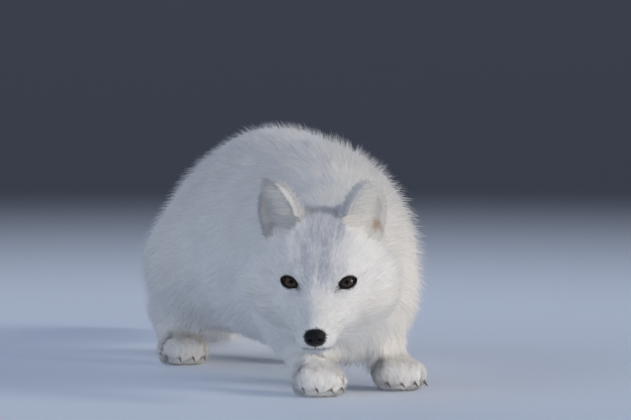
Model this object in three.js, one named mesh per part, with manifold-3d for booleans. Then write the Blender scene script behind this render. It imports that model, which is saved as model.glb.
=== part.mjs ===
// An arctic fox in full winter coat, life-size, crouched in a low stalk: legs folded, back arched,
// head stretched out close to the ground and turned to its right.
// Millimetres, +Z up. The fox faces -Y and its left side is +X. The solids reach to the tips of the coat.
//
// Every soft form is a field: a function of a point that is negative inside and grows by about one for
// each millimetre outwards. Fields blend into each other, and skinAlong() walks out from a curve to the
// surface of a field, ring by ring, which gives one closed mesh.
import * as THREE from "three";
import { mergeVertices } from "three/addons/utils/BufferGeometryUtils.js";
import Module from "manifold-3d";

const wasm = await Module();
wasm.setup();

const V = (x, y, z) => new THREE.Vector3(x, y, z);
const LEFT = V(1, 0, 0);
const SIDES = { left: 1, right: -1 };
const radians = THREE.MathUtils.degToRad;

// ---------------------------------------------------------------- driving sizes

const GAP = 0.3; // between neighbouring pieces

// The head's frame has its origin midway between the eye openings: +X to the fox's left, -Y forward, +Z up.
const HEAD = {
  at: V(-75, -190, 112),
  yaw: radians(-22),
  pitch: radians(21),
  back: 86, // from the eyes to the cut between head and neck
};
const EYE = { apart: 52, behind: 10.5, radius: 9.5 };
const NOSE = { ahead: 56, below: 25, wide: 21, high: 16, deep: 15 };
const MOUTH = { below: 38, corner: 10, slope: 30 };
const EAR = { high: 58, wide: 42, thick: 15, apart: 79, behind: 66, above: 40, wall: 7 };

// The trunk arches between the ground and these heights, and its middle swings to the fox's right.
const BACK_HEIGHT = 250;
const BELLY_HEIGHT = 36;
const HIPS = { at: 268, swing: -12, high: 132 };
const TAIL = [
  { at: V(-12, 308, 136), radius: 33 },
  { at: V(-8, 360, 103), radius: 43 },
  { at: V(2, 410, 72), radius: 51 },
  { at: V(18, 474, 56), radius: 56 },
  { at: V(38, 538, 50), radius: 52 },
  { at: V(55, 592, 40), radius: 38 },
  { at: V(64, 628, 30), radius: 18 },
];
const TAIL_SPLIT = 0.45; // where the brush begins, as a share of the tail's length

const PAW = { wide: 48, long: 64, high: 34, toes: [-19, -7, 7, 19] };
const CLAW = { long: 11, thick: 3.6 };
// How far each foot is set forward of its pair's rearmost place.
const STRIDE = { fore: { left: 0, right: 34 }, hind: { left: 26, right: 0 } };
const WRIST = 0.62; // where a fore leg is parted from its paw, as a share of its length

// ---------------------------------------------------------------- fields

// A limb from a to b whose radius goes from ra to rb.
function bone(a, b, ra, rb) {
  const along = b.clone().sub(a);
  const lengthSquared = along.lengthSq();
  const q = V(0, 0, 0);
  return (p) => {
    const t = THREE.MathUtils.clamp(q.copy(p).sub(a).dot(along) / lengthSquared, 0, 1);
    return q.addScaledVector(along, -t).length() - THREE.MathUtils.lerp(ra, rb, t);
  };
}

// An ellipsoid with half-axes x, y and z.
function mass(centre, x, y, z) {
  const q = V(0, 0, 0);
  return (p) => {
    q.copy(p).sub(centre);
    const near = Math.hypot(q.x / x, q.y / y, q.z / z);
    const steep = Math.hypot(q.x / (x * x), q.y / (y * y), q.z / (z * z));
    return steep > 0 ? (near * (near - 1)) / steep : -Math.min(x, y, z);
  };
}

// Fields joined with a soft fillet of about the given width.
function blend(width, ...fields) {
  return (p) => {
    let sum = 0;
    for (const field of fields) sum += Math.exp(-field(p) / width);
    return -width * Math.log(sum);
  };
}

// A field that stops at the ground, so that what reaches it rests on a flat.
const onGround = (field) => (p) => Math.max(field(p), -p.z);

// A field in another frame, given by its matrix.
function placed(matrix, field) {
  const inverse = matrix.clone().invert();
  const q = V(0, 0, 0);
  return (p) => field(q.copy(p).applyMatrix4(inverse));
}

// ---------------------------------------------------------------- meshes and solids

const SEARCH_STEPS = 60;
const SEARCH_HALVINGS = 18;

// How far the surface of a field lies from a point inside it, in one direction.
function reachOf(field, from, direction, most) {
  const p = V(0, 0, 0);
  const at = (s) => field(p.copy(from).addScaledVector(direction, s));
  const step = most / SEARCH_STEPS;
  let outer = step;
  while (outer < most && at(outer) < 0) outer += step;
  let inner = outer - step;
  for (let i = 0; i < SEARCH_HALVINGS; i++) {
    const middle = (inner + outer) / 2;
    if (at(middle) < 0) inner = middle;
    else outer = middle;
  }
  return inner;
}

// A closed mesh round a curve: rings of rays that walk out to the field's surface.
// An end is cut flat, or closed by `round` more rings whose rays turn towards the pole.
function skinAlong(curve, field, { around, rings, from = 0, to = 1, round = [0, 0], most = 160 }) {
  const fans = [];
  for (let i = round[0]; i > 0; i--) fans.push({ t: from, turn: -i / (round[0] + 1) });
  for (let i = 0; i <= rings; i++) fans.push({ t: from + ((to - from) * i) / rings, turn: 0 });
  for (let i = 1; i <= round[1]; i++) fans.push({ t: to, turn: i / (round[1] + 1) });

  const positions = [];
  for (const { t, turn } of fans) {
    const centre = curve.getPointAt(t);
    const tangent = curve.getTangentAt(t);
    const side = LEFT.clone().addScaledVector(tangent, -LEFT.dot(tangent)).normalize();
    const over = tangent.clone().cross(side);
    const tilt = (turn * Math.PI) / 2;
    for (let k = 0; k < around; k++) {
      const angle = (2 * Math.PI * k) / around;
      const ray = side.clone().multiplyScalar(Math.cos(angle)).addScaledVector(over, Math.sin(angle));
      ray.multiplyScalar(Math.cos(tilt)).addScaledVector(tangent, Math.sin(tilt));
      positions.push(centre.clone().addScaledVector(ray, reachOf(field, centre, ray, most)));
    }
  }
  const pole = (t, isRound, sign) => {
    const centre = curve.getPointAt(t);
    const ray = curve.getTangentAt(t).multiplyScalar(sign);
    const reach = isRound ? reachOf(field, centre, ray, most) : 0;
    positions.push(centre.addScaledVector(ray, reach));
    return positions.length - 1;
  };
  const first = pole(from, round[0], -1);
  const last = pole(to, round[1], 1);

  const index = [];
  for (let k = 0; k < around; k++) {
    const next = (k + 1) % around;
    for (let i = 0; i + 1 < fans.length; i++) {
      const [a, b] = [i * around + k, i * around + next];
      index.push(a, b, b + around, a, b + around, a + around);
    }
    const end = (fans.length - 1) * around;
    index.push(first, next, k, last, end + k, end + next);
  }
  const onSole = 1e-3; // what the search leaves just above the ground lies on it
  for (const p of positions) if (Math.abs(p.z) < onSole) p.z = 0;
  const geometry = new THREE.BufferGeometry().setFromPoints(positions);
  return geometry.setIndex(index);
}

function solidOf(geometry, matrix = new THREE.Matrix4()) {
  const bare = new THREE.BufferGeometry().setAttribute("position", geometry.getAttribute("position").clone());
  if (geometry.index) bare.setIndex(geometry.index.clone());
  const merged = mergeVertices(bare.applyMatrix4(matrix), 1e-4);
  return new wasm.Manifold(
    new wasm.Mesh({
      numProp: 3,
      vertProperties: merged.attributes.position.array,
      triVerts: new Uint32Array(merged.index.array),
    }),
  );
}

const skinSolid = (...all) => solidOf(skinAlong(...all));

// A sphere stretched to half-axes and placed by a matrix.
function ellipsoid(x, y, z, matrix, [around, rings] = [14, 9]) {
  return solidOf(new THREE.SphereGeometry(1, around, rings).rotateX(Math.PI / 2).scale(x, y, z), matrix);
}

function geometryOf(solid) {
  const { vertProperties, triVerts } = solid.getMesh();
  const geometry = new THREE.BufferGeometry();
  geometry.setAttribute("position", new THREE.BufferAttribute(new Float32Array(vertProperties), 3));
  geometry.setIndex(new THREE.BufferAttribute(new Uint32Array(triVerts), 1));
  geometry.computeVertexNormals();
  return geometry;
}

// A solid whose vertices have moved out by a little over the gap, to cut its neighbours clear of it.
function swollen(solid) {
  const geometry = geometryOf(solid);
  const { position, normal } = geometry.attributes;
  const moved = V(0, 0, 0);
  const outwards = V(0, 0, 0);
  for (let i = 0; i < position.count; i++) {
    outwards.fromBufferAttribute(normal, i);
    moved.fromBufferAttribute(position, i).addScaledVector(outwards, 1.5 * GAP);
    position.setXYZ(i, moved.x, moved.y, moved.z);
  }
  return solidOf(geometry);
}

// The largest of the bodies that a cut leaves.
function largest(solid) {
  return solid.decompose().reduce((a, b) => (b.volume() > a.volume() ? b : a));
}

// ---------------------------------------------------------------- materials

const coat = new THREE.MeshStandardMaterial({ color: 0xf1efea, roughness: 0.9, metalness: 0 });
const nosePad = new THREE.MeshStandardMaterial({ color: 0x17161a, roughness: 0.45, metalness: 0 });
const eyeball = new THREE.MeshStandardMaterial({ color: 0x3a2c22, roughness: 0.08, metalness: 0 });
const horn = new THREE.MeshStandardMaterial({ color: 0x4a423c, roughness: 0.5, metalness: 0 });

const fox = new THREE.Group();

function addPart(name, solid, material = coat) {
  const mesh = new THREE.Mesh(geometryOf(solid), material);
  mesh.name = name;
  fox.add(mesh);
}

// ---------------------------------------------------------------- forms of the head

const headMatrix = new THREE.Matrix4()
  .makeRotationFromEuler(new THREE.Euler(HEAD.pitch, 0, HEAD.yaw, "ZYX"))
  .setPosition(HEAD.at);

// Points in the head's frame, out to the side, forward and up, and the same places in the fox's frame.
const inHead = (side, forward, up) => V(side, -forward, up);
const fromHead = (side, forward, up) => inHead(side, forward, up).applyMatrix4(headMatrix);

function headField() {
  const parts = [
    bone(inHead(0, -66, 6), inHead(0, -15, -5), 38, 25), // crown, down to the stop
    bone(inHead(0, -6, -15), inHead(0, 47, -24), 20, 11.5), // bridge of the muzzle
    bone(inHead(0, -14, -38), inHead(0, 38, -41), 23, 9.5), // lower jaw
    mass(inHead(0, -66, -26), 58, 44, 50), // throat and its ruff
  ];
  for (const s of Object.values(SIDES)) {
    parts.push(
      mass(inHead(24 * s, -56, 6), 30, 32, 30), // temple
      mass(inHead(34 * s, -48, -20), 36, 36, 35), // cheek ruff
      bone(inHead(20 * s, -24, -23), inHead(7 * s, 36, -29), 24, 12), // cheek, narrowing to the lip
      mass(inHead(7.5 * s, 44, -32), 9.5, 13, 9), // upper lip
      mass(inHead(20 * s, -17, 3), 15, 16, 13), // brow and lids
    );
  }
  return blend(4, ...parts);
}

// Head and neck part at an upright plane behind the ears, so both axes run straight through it.
const nape = fromHead(0, -HEAD.back, -16);
const backwards = V(-Math.sin(HEAD.yaw), Math.cos(HEAD.yaw), 0);
const napeAxis = (...behind) => behind.map((distance) => nape.clone().addScaledVector(backwards, distance));

const headAxis = new THREE.CatmullRomCurve3([
  ...napeAxis(0, -10, -20),
  fromHead(0, -40, -13),
  fromHead(0, 0, -22),
  fromHead(0, 42, -30),
]);

// ---------------------------------------------------------------- forms of the neck, trunk and tail

const midHeight = (BACK_HEIGHT + BELLY_HEIGHT) / 2;
const halfHeight = (BACK_HEIGHT - BELLY_HEIGHT) / 2;

function torsoField() {
  const parts = [
    bone(fromHead(0, -75, -12), V(-16, -48, 128), 54, 68), // neck and its ruff
    mass(V(-10, -62, 87), 72, 54, 60), // breast
    mass(V(3, 50, 138), 82, 124, 98), // ribs
    mass(V(-4, 158, midHeight + 4), 88, 125, halfHeight - 9), // loin, the top of the arch
    mass(V(-2, 120, BELLY_HEIGHT + 50), 76, 150, 50), // belly
    mass(V(HIPS.swing, HIPS.at, HIPS.high), 70, 68, 84), // croup
  ];
  for (const s of Object.values(SIDES)) {
    parts.push(
      mass(V(40 * s, 4, 112), 42, 60, 68), // shoulder
      mass(V(HIPS.swing + 46 * s, HIPS.at - 10, HIPS.high - 36), 54, 84, 60), // haunch
    );
  }
  return blend(11, ...parts);
}

const foxField = blend(8, placed(headMatrix, headField()), torsoField());

const torsoAxis = new THREE.CatmullRomCurve3([
  ...napeAxis(GAP, 13, 26),
  V(-12, -38, 140),
  V(-3, 50, 147),
  V(0, 160, midHeight - 3),
  V(HIPS.swing + 3, HIPS.at - 18, HIPS.high - 4),
  V(HIPS.swing, HIPS.at + 20, HIPS.high - 14),
]);

function tailField() {
  const parts = TAIL.slice(1).map((end, i) => bone(TAIL[i].at, end.at, TAIL[i].radius, end.radius));
  return onGround(blend(6, ...parts));
}
const tailAxis = new THREE.CatmullRomCurve3(TAIL.map(({ at }) => at));

// ---------------------------------------------------------------- forms of the legs

// A paw whose sole is centred at a point of the ground, with its toes turned by yaw.
function pawFrame(x, y, yaw) {
  return new THREE.Matrix4().makeRotationZ(yaw).setPosition(x, y, 0);
}

function toeCentre(offset) {
  return V(offset, -PAW.long * 0.3 + Math.abs(offset) * 0.45, PAW.high * 0.42);
}

function pawField(frame) {
  const pad = mass(V(0, 4, PAW.high * 0.42), PAW.wide * 0.44, PAW.long * 0.36, PAW.high * 0.5);
  const toes = PAW.toes.map((x) => mass(toeCentre(x), 8.5, 16, PAW.high * 0.42));
  return placed(frame, blend(3, pad, ...toes));
}

// A fore leg runs from the shoulder back to the elbow, then forward over the wrist to the paw.
function foreLeg(side, stride) {
  const frame = pawFrame(46 * side, -62 - stride, radians(4 * side));
  const inPaw = (x, y, z) => V(x, y, z).applyMatrix4(frame);
  const shoulder = V(44 * side, 20, 124);
  const elbow = V(50 * side, 26, 90);
  const wrist = V(48 * side, -8 - stride * 0.5, 54);
  const heel = inPaw(0, 14, 22);
  const toe = inPaw(0, -PAW.long * 0.26, 14);
  const limb = blend(5, bone(shoulder, elbow, 34, 29), bone(elbow, wrist, 29, 21), bone(wrist, heel, 21, 17));
  return {
    frame,
    axis: new THREE.CatmullRomCurve3([shoulder, elbow, wrist, heel, toe]),
    field: onGround(blend(5, limb, pawField(frame))),
  };
}

// A hind leg's shank runs back from the knee to the hock, and its foot forward from there to the toes.
function hindLeg(side, stride) {
  const frame = pawFrame(HIPS.swing + 62 * side, HIPS.at - 10 - stride, radians(7 * side));
  const inPaw = (x, y, z) => V(x, y, z).applyMatrix4(frame);
  const knee = V(HIPS.swing + 54 * side, HIPS.at - 22, 96);
  const hock = V(HIPS.swing + 58 * side, HIPS.at + 64 - stride * 0.3, 50);
  const heel = inPaw(0, 16, 20);
  const toe = inPaw(0, -PAW.long * 0.26, 14);
  return {
    frame,
    shankAxis: new THREE.CatmullRomCurve3([knee, knee.clone().lerp(hock, 0.5), hock]),
    shankField: bone(knee, hock, 34, 20),
    footAxis: new THREE.CatmullRomCurve3([hock, hock.clone().lerp(heel, 0.55), heel, toe]),
    footField: onGround(blend(5, bone(hock, heel, 19, 17), pawField(frame))),
  };
}

// A claw grows out of the front of a toe and bends down.
function clawSolid(frame, offset) {
  const root = toeCentre(offset).add(V(0, -9, -4));
  const tip = root.clone().add(V(0, -CLAW.long, -CLAW.long * 0.4));
  const bend = root.clone().lerp(tip, 0.5).add(V(0, 0, CLAW.long * 0.1));
  const [a, b, c] = [root, bend, tip].map((p) => p.applyMatrix4(frame));
  const half = CLAW.thick / 2;
  const field = blend(0.4, bone(a, b, half, half * 0.75), bone(b, c, half * 0.75, half * 0.3));
  const axis = new THREE.CatmullRomCurve3([a, b, c]);
  return skinSolid(axis, field, { around: 6, rings: 1, round: [0, 1], most: CLAW.long });
}

// ---------------------------------------------------------------- head, jaw, nose, eyes and ears

function inHeadFrame(centre, turn = new THREE.Euler()) {
  return headMatrix.clone().multiply(new THREE.Matrix4().makeRotationFromEuler(turn).setPosition(centre));
}
const shifted = (matrix, y, z) => matrix.clone().multiply(new THREE.Matrix4().makeTranslation(0, y, z));

// The prism that holds the lower jaw: below the line of the mouth and in front of its corner.
function jawRoom(grow) {
  const [top, corner] = [-MOUTH.below + grow, MOUTH.corner - grow];
  const profile = new THREE.Shape([
    new THREE.Vector2(corner, top),
    new THREE.Vector2(corner - MOUTH.slope, top - 2 * MOUTH.slope),
    new THREE.Vector2(3 * MOUTH.slope, top - 2 * MOUTH.slope),
    new THREE.Vector2(3 * MOUTH.slope, top),
  ]);
  const depth = 4 * MOUTH.slope;
  const prism = new THREE.ExtrudeGeometry(profile, { depth, bevelEnabled: false });
  const acrossHead = new THREE.Matrix4().makeBasis(V(0, -1, 0), V(0, 0, 1), V(-1, 0, 0));
  return solidOf(prism, headMatrix.clone().multiply(acrossHead.setPosition(depth / 2, 0, 0)));
}

const headShape = { around: 28, rings: 16, round: [0, 4], most: 110 };
const headSkin = skinSolid(headAxis, foxField, headShape);
const clearOfHead = swollen(headSkin);

function addHead() {
  let head = headSkin;
  for (const [name, side] of Object.entries(SIDES)) {
    const centre = inHead((EYE.apart / 2) * side, -EYE.behind, 0);
    const ball = (radius) => ellipsoid(radius, radius, radius, inHeadFrame(centre));
    const lids = inHeadFrame(centre, new THREE.Euler(-0.1, 0.25 * side, 0.42 * side, "ZYX"));
    const opening = ellipsoid(10, 16, 6.5, shifted(lids, -13, 0), [10, 7]);
    head = head.subtract(opening).subtract(ball(EYE.radius + GAP));
    addPart(`eye_${name}`, ball(EYE.radius), eyeball);

    const root = inHead((EAR.apart / 2) * side, -EAR.behind, EAR.above);
    const ear = inHeadFrame(root, new THREE.Euler(-0.12, 0.2 * side, 0.34 * side, "ZYX"));
    const shell = ellipsoid(EAR.wide / 2, EAR.thick, EAR.high / 2 + 6, ear, [16, 11]);
    const cup = ellipsoid(EAR.wide / 2 - 4, EAR.thick - 2, EAR.high / 2, shifted(ear, -1.25 * EAR.wall, -1));
    addPart(`ear_${name}`, largest(shell.subtract(cup).subtract(clearOfHead)));
  }

  const noseFrame = inHeadFrame(inHead(0, NOSE.ahead, -NOSE.below));
  const nose = (grow) => {
    const [x, y, z] = [NOSE.wide, NOSE.deep, NOSE.high].map((size) => size / 2 + grow);
    return ellipsoid(x, y, z, noseFrame);
  };
  addPart("nose", nose(0), nosePad);
  head = head.subtract(nose(GAP));
  addPart("jaw", largest(head.intersect(jawRoom(0))));
  addPart("head", largest(head.subtract(jawRoom(GAP))));
}

// ---------------------------------------------------------------- neck, trunk and tail

// The trunk is one skin, parted by thin cuts square to its axis.
const TRUNK_LENGTHS = [
  { name: "neck", from: 0, to: 0.24, rings: 5 },
  { name: "chest", from: 0.24, to: 0.5, rings: 6 },
  { name: "loin", from: 0.5, to: 0.76, rings: 6 },
  { name: "rump", from: 0.76, to: 1, rings: 6, round: [0, 4] },
];

function trunkSkin({ from, to, rings, round = [0, 0] }, cut = 0) {
  return skinSolid(torsoAxis, foxField, { around: 24, rings, from: from + cut, to, round, most: 150 });
}

const clearOfTorso = TRUNK_LENGTHS.map((length) => swollen(trunkSkin(length))).reduce((a, b) => a.add(b));
const clearOfBody = clearOfTorso.add(clearOfHead);

function addTrunk() {
  const cut = GAP / torsoAxis.getLength();
  const [neck, ...others] = TRUNK_LENGTHS;
  addPart(neck.name, largest(trunkSkin(neck).subtract(clearOfHead)));
  for (const length of others) addPart(length.name, trunkSkin(length, cut));
}

function addTail() {
  const shape = { around: 16, most: 90 };
  const field = tailField();
  const brush = TAIL_SPLIT + GAP / tailAxis.getLength();
  const rootSkin = skinSolid(tailAxis, field, { ...shape, to: TAIL_SPLIT, rings: 5 });
  const brushSkin = skinSolid(tailAxis, field, { ...shape, from: brush, rings: 7, round: [0, 3] });
  addPart("tail_root", largest(rootSkin.subtract(clearOfTorso)));
  addPart("tail_brush", largest(brushSkin.subtract(clearOfTorso)));
}

// ---------------------------------------------------------------- legs, paws and claws

function addPaw(name, claws, frame, solid) {
  PAW.toes.forEach((offset, i) => {
    const claw = clawSolid(frame, offset);
    addPart(`${claws}_${i + 1}`, claw, horn);
    solid = solid.subtract(swollen(claw));
  });
  addPart(name, largest(solid.subtract(clearOfBody)));
}

function addLegs(name, side) {
  const shape = { around: 12, rings: 6, most: 70 };
  const fore = foreLeg(side, STRIDE.fore[name]);
  const afterWrist = WRIST + GAP / fore.axis.getLength();
  const upper = skinSolid(fore.axis, fore.field, { ...shape, to: WRIST });
  addPart(`foreleg_${name}`, largest(upper.subtract(clearOfBody)));
  const paw = skinSolid(fore.axis, fore.field, { ...shape, from: afterWrist, round: [0, 4] });
  addPaw(`forepaw_${name}`, `claw_fore_${name}`, fore.frame, paw);

  const hind = hindLeg(side, STRIDE.hind[name]);
  const shankShape = { ...shape, rings: 4, round: [0, 3] };
  const shank = skinSolid(hind.shankAxis, hind.shankField, shankShape);
  addPart(`shank_${name}`, largest(shank.subtract(clearOfBody)));
  const foot = skinSolid(hind.footAxis, hind.footField, { ...shape, rings: 8, round: [2, 3] });
  addPaw(`hindpaw_${name}`, `claw_hind_${name}`, hind.frame, foot.subtract(swollen(shank)));
}

// ---------------------------------------------------------------- the fox

addHead();
addTrunk();
addTail();
for (const [name, side] of Object.entries(SIDES)) addLegs(name, side);

// The origin is under the middle of the fox, on the ground.
const box = new THREE.Box3().setFromObject(fox, true);
const middle = box.getCenter(V(0, 0, 0));
fox.position.set(-middle.x, -middle.y, -box.min.z);

export default new THREE.Group().add(fox);
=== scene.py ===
"""The looks of a life-size arctic fox in winter coat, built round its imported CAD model.

The CAD solids reach to the tips of the coat. One skin is drawn inside them, deeper by the coat's depth, and
solid tufts of fur grow on it out to the solids' own surface. Fields and points are in millimetres until a
mesh is made from them. The fox faces -Y and its left side is +X.
"""

import math
from itertools import product

import bmesh
import bpy
import numpy as np
import openvdb
from mathutils import Matrix, Vector, kdtree


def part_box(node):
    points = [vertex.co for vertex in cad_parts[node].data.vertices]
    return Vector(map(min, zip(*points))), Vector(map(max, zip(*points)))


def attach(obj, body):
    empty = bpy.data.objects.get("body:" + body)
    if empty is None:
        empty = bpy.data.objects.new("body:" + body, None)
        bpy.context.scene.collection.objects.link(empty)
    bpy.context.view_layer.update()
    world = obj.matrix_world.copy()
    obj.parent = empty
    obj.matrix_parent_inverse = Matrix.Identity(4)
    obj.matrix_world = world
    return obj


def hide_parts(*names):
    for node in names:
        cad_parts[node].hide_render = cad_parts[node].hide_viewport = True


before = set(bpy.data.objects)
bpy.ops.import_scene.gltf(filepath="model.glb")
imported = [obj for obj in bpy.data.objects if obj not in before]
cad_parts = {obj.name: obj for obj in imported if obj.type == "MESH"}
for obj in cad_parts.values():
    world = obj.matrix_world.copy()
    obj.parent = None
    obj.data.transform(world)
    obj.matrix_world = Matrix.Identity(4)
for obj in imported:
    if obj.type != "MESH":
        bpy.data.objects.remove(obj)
for startup in ("Cube", "Light", "Camera"):
    if startup in bpy.data.objects:
        bpy.data.objects.remove(bpy.data.objects[startup])
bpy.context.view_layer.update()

MM = 0.001
SIDES = {"left": 1, "right": -1}
DOWN = np.array([0.0, 0.0, -1.0])
# Where the random draws start. Draws that share one add their own number to it.
SEEDS = {
    "coat": 21,
    "guard": 31,
    "tints": 41,
    "streaks": 43,
    "lean": 45,
    "locks": 46,
    "ear roots": 51,
    "ear hair": 61,
    "ear tints": 71,
    "whiskers": 81,
}


# ---------------------------------------------------------------- small maths


def unit(v):
    return v / np.maximum(np.linalg.norm(v, axis=-1, keepdims=True), 1e-9)


def dots(a, b):
    return np.einsum("...i,...i->...", a, b)


def rise(low, high, x):
    """0 below low, 1 above high, and a smooth step between them. low may be the greater one."""
    t = np.clip((x - low) / (high - low), 0, 1)
    return t * t * (3 - 2 * t)


def mix(a, b, share):
    return a + (b - a) * share


def flattened(v, normal):
    """v without its part along the normal, as a unit vector."""
    return unit(v - normal * dots(v, normal)[..., None])


class Grid:
    """Values on a regular grid of points, read between them by linear interpolation."""

    def __init__(self, low, step, values):
        self.low = np.asarray(low, float)
        self.step = step
        self.values = values if values.ndim == 4 else values[..., None]

    def sample(self, points):
        shape = self.values.shape
        q = np.clip((points - self.low) / self.step, 0, np.array(shape[:3]) - 1.001)
        cell = q.astype(np.int64)
        share = (q - cell).astype(np.float32)
        flat = self.values.reshape(-1, shape[3])
        strides = np.array([shape[1] * shape[2], shape[2], 1])
        base = cell @ strides
        total = 0
        for corner in np.ndindex(2, 2, 2):
            weight = np.prod(np.where(corner, share, 1 - share), axis=1)
            total = total + flat[base + int(np.dot(corner, strides))] * weight[:, None]
        return total if shape[3] > 1 else total[:, 0]

    def onto(self, low, step, shape):
        """The values on another grid's points."""
        out = self.values
        for axis in range(3):
            q = (low[axis] + step * np.arange(shape[axis]) - self.low[axis]) / self.step
            q = np.clip(q, 0, out.shape[axis] - 1.001)
            cell = q.astype(int)
            along = [1, 1, 1, 1]
            along[axis] = -1
            share = (q - cell).astype(np.float32).reshape(along)
            out = np.take(out, cell, axis) * (1 - share) + np.take(out, cell + 1, axis) * share
        return out if out.shape[3] > 1 else out[..., 0]


def blurred(values, sigma):
    """Gaussian blur along the first three axes. sigma is in grid steps."""
    reach = max(1, math.ceil(2.5 * sigma))
    weights = np.exp(-0.5 * (np.arange(-reach, reach + 1) / sigma) ** 2)
    weights = (weights / weights.sum()).astype(np.float32)
    for axis in range(3):
        pad = [(0, 0)] * values.ndim
        pad[axis] = (reach, reach)
        wide = np.pad(values, pad, mode="edge")
        count = values.shape[axis]
        parts = (np.take(wide, np.arange(i, i + count), axis) * w for i, w in enumerate(weights))
        values = sum(parts)
    return values


LATTICE = 32  # random values along each side of the block that wander() repeats


def wander(points, size, seed):
    """Smooth random values, about -1 to 1, that change over about `size` millimetres."""
    lattice = np.random.default_rng(seed).uniform(-1, 1, (LATTICE,) * 3).astype(np.float32)
    q = points / size + 7.3
    cell = np.floor(q).astype(int)
    share = rise(0, 1, q - cell).astype(np.float32)
    total = 0
    for corner in np.ndindex(2, 2, 2):
        weight = np.prod(np.where(corner, share, 1 - share), axis=1)
        total = total + lattice[tuple(((cell + corner) % LATTICE).T)] * weight
    return total


# ---------------------------------------------------------------- what the solids say


def corners_of(name):
    low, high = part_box(name)
    return np.array(low) / MM, np.array(high) / MM


def centre_of(name):
    low, high = corners_of(name)
    return (low + high) / 2


def read(items, name, width=1, kind=np.float32):
    """One property of all items of a mesh, as an array with `width` numbers for each."""
    values = np.empty(width * len(items), kind)
    items.foreach_get(name, values)
    return values.reshape(-1, width) if width > 1 else values


def node_mesh(name):
    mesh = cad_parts[name].data
    mesh.calc_loop_triangles()
    return read(mesh.vertices, "co", 3) / MM, read(mesh.loop_triangles, "vertices", 3, np.int32)


def joined(meshes):
    points, faces, count = [], [], 0
    for part_points, part_faces in meshes:
        points.append(part_points)
        faces.append(part_faces + count)
        count += len(part_points)
    return np.concatenate(points), np.concatenate(faces)


REGIONS = {
    "head": ["head", "jaw", "nose", "eye_left", "eye_right"],
    "ears": ["ear_left", "ear_right"],
    "neck": ["neck"],
    "chest": ["chest"],
    "loin": ["loin"],
    "rump": ["rump"],
    "tail": ["tail_root", "tail_brush"],
    "legs": ["foreleg_left", "foreleg_right", "shank_left", "shank_right"],
    "paws": ["forepaw_left", "forepaw_right", "hindpaw_left", "hindpaw_right"],
}
REGION = {name: i for i, name in enumerate(REGIONS)}
FLESH = [name for names in REGIONS.values() for name in names]


def share_of(weights, *names):
    """How much the named regions count together at each point."""
    return sum(weights[:, REGION[name]] for name in names)


# The head's frame: its origin is midway between the eyeballs, and the nose lies this far ahead and below.
NOSE_AHEAD, NOSE_BELOW = 66.5, 25.0
EYE_MIDDLE = (centre_of("eye_left") + centre_of("eye_right")) / 2
SIDEWAYS = unit(centre_of("eye_left") - centre_of("eye_right"))
to_nose = centre_of("nose") - EYE_MIDDLE
to_nose = unit(to_nose - SIDEWAYS * (to_nose @ SIDEWAYS))
over_nose = np.cross(SIDEWAYS, to_nose)
over_nose = over_nose * np.sign(over_nose[2])
nose_angle = math.atan2(NOSE_BELOW, NOSE_AHEAD)
FORWARD = math.cos(nose_angle) * to_nose + math.sin(nose_angle) * over_nose
UPWARD = -math.sin(nose_angle) * to_nose + math.cos(nose_angle) * over_nose
HEAD_AXES = np.stack([SIDEWAYS, FORWARD, UPWARD])


def in_head(points):
    """Points as (side, ahead, up) in the head's frame."""
    return (points - EYE_MIDDLE) @ HEAD_AXES.T


def from_head(side, ahead, up):
    return EYE_MIDDLE + np.array([side, ahead, up]) @ HEAD_AXES


# ---------------------------------------------------------------- the envelope, as distance fields

SEAL = 0.5  # closes the thin gaps between the solids
FINE_STEP = 1.0
# Each field's grid step, how far from the surface it holds true, and the room it leaves round the solids.
BODY_STEP, BODY_BAND, BODY_MARGIN = 2.5, 40, 24
HEAD_STEP, HEAD_BAND, HEAD_MARGIN = 1.1, 12, 14
BODY_SOFT = 3.2  # how far each field is smoothed
HEAD_SOFT = 2.4
EAR_SOFT = 0.9
HEAD_FADE = (1, 12)  # how far inside its edge the head's field starts to count, and counts wholly


def level_set(points, step, band, **faces):
    transform = openvdb.createLinearTransform(voxelSize=step)
    return openvdb.FloatGrid.createLevelSetFromPolygons(
        points, transform=transform, halfWidth=band / step, **faces
    )


def dense(grid, step, low, high):
    """The part of a level set between two corners, as an array, and its lowest point."""
    first = np.floor(np.asarray(low) / step).astype(int)
    last = np.ceil(np.asarray(high) / step).astype(int)
    values = np.empty(tuple(last - first + 1), np.float32)
    grid.copyToArray(values, ijk=tuple(int(i) for i in first))
    return values + SEAL, first * step


def envelope():
    """The body's distance field, and the finer one round the head as an array and its lowest point."""
    points, triangles = joined(node_mesh(name) for name in FLESH)
    fine = level_set(points, FINE_STEP, 3 * FINE_STEP, triangles=triangles.astype(np.uint32))
    points, triangles, quads = fine.convertToPolygons(isovalue=SEAL, adaptivity=0.1)
    faces = {"triangles": triangles, "quads": quads}
    low, high = points.min(0) - BODY_MARGIN, points.max(0) + BODY_MARGIN
    values, low = dense(level_set(points, BODY_STEP, BODY_BAND, **faces), BODY_STEP, low, high)
    body = Grid(low, BODY_STEP, blurred(values, BODY_SOFT / BODY_STEP))

    corners = [corners_of(name) for name in REGIONS["head"] + REGIONS["ears"]]
    low = np.min([c[0] for c in corners], axis=0) - HEAD_MARGIN
    high = np.max([c[1] for c in corners], axis=0) + HEAD_MARGIN
    values, low = dense(level_set(points, HEAD_STEP, HEAD_BAND, **faces), HEAD_STEP, low, high)
    return body, values, low


def points_of(low, step, shape):
    axes = [low[i] + step * np.arange(shape[i]) for i in range(3)]
    return np.stack(np.meshgrid(*axes, indexing="ij"), axis=-1).reshape(-1, 3)


# ---------------------------------------------------------------- regions

SPREAD = ((1, 1), (3, 1), (1, 3), (1.5, 1.5), (0.5, 0.5))  # places on each triangle, by its corners' weights
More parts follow.
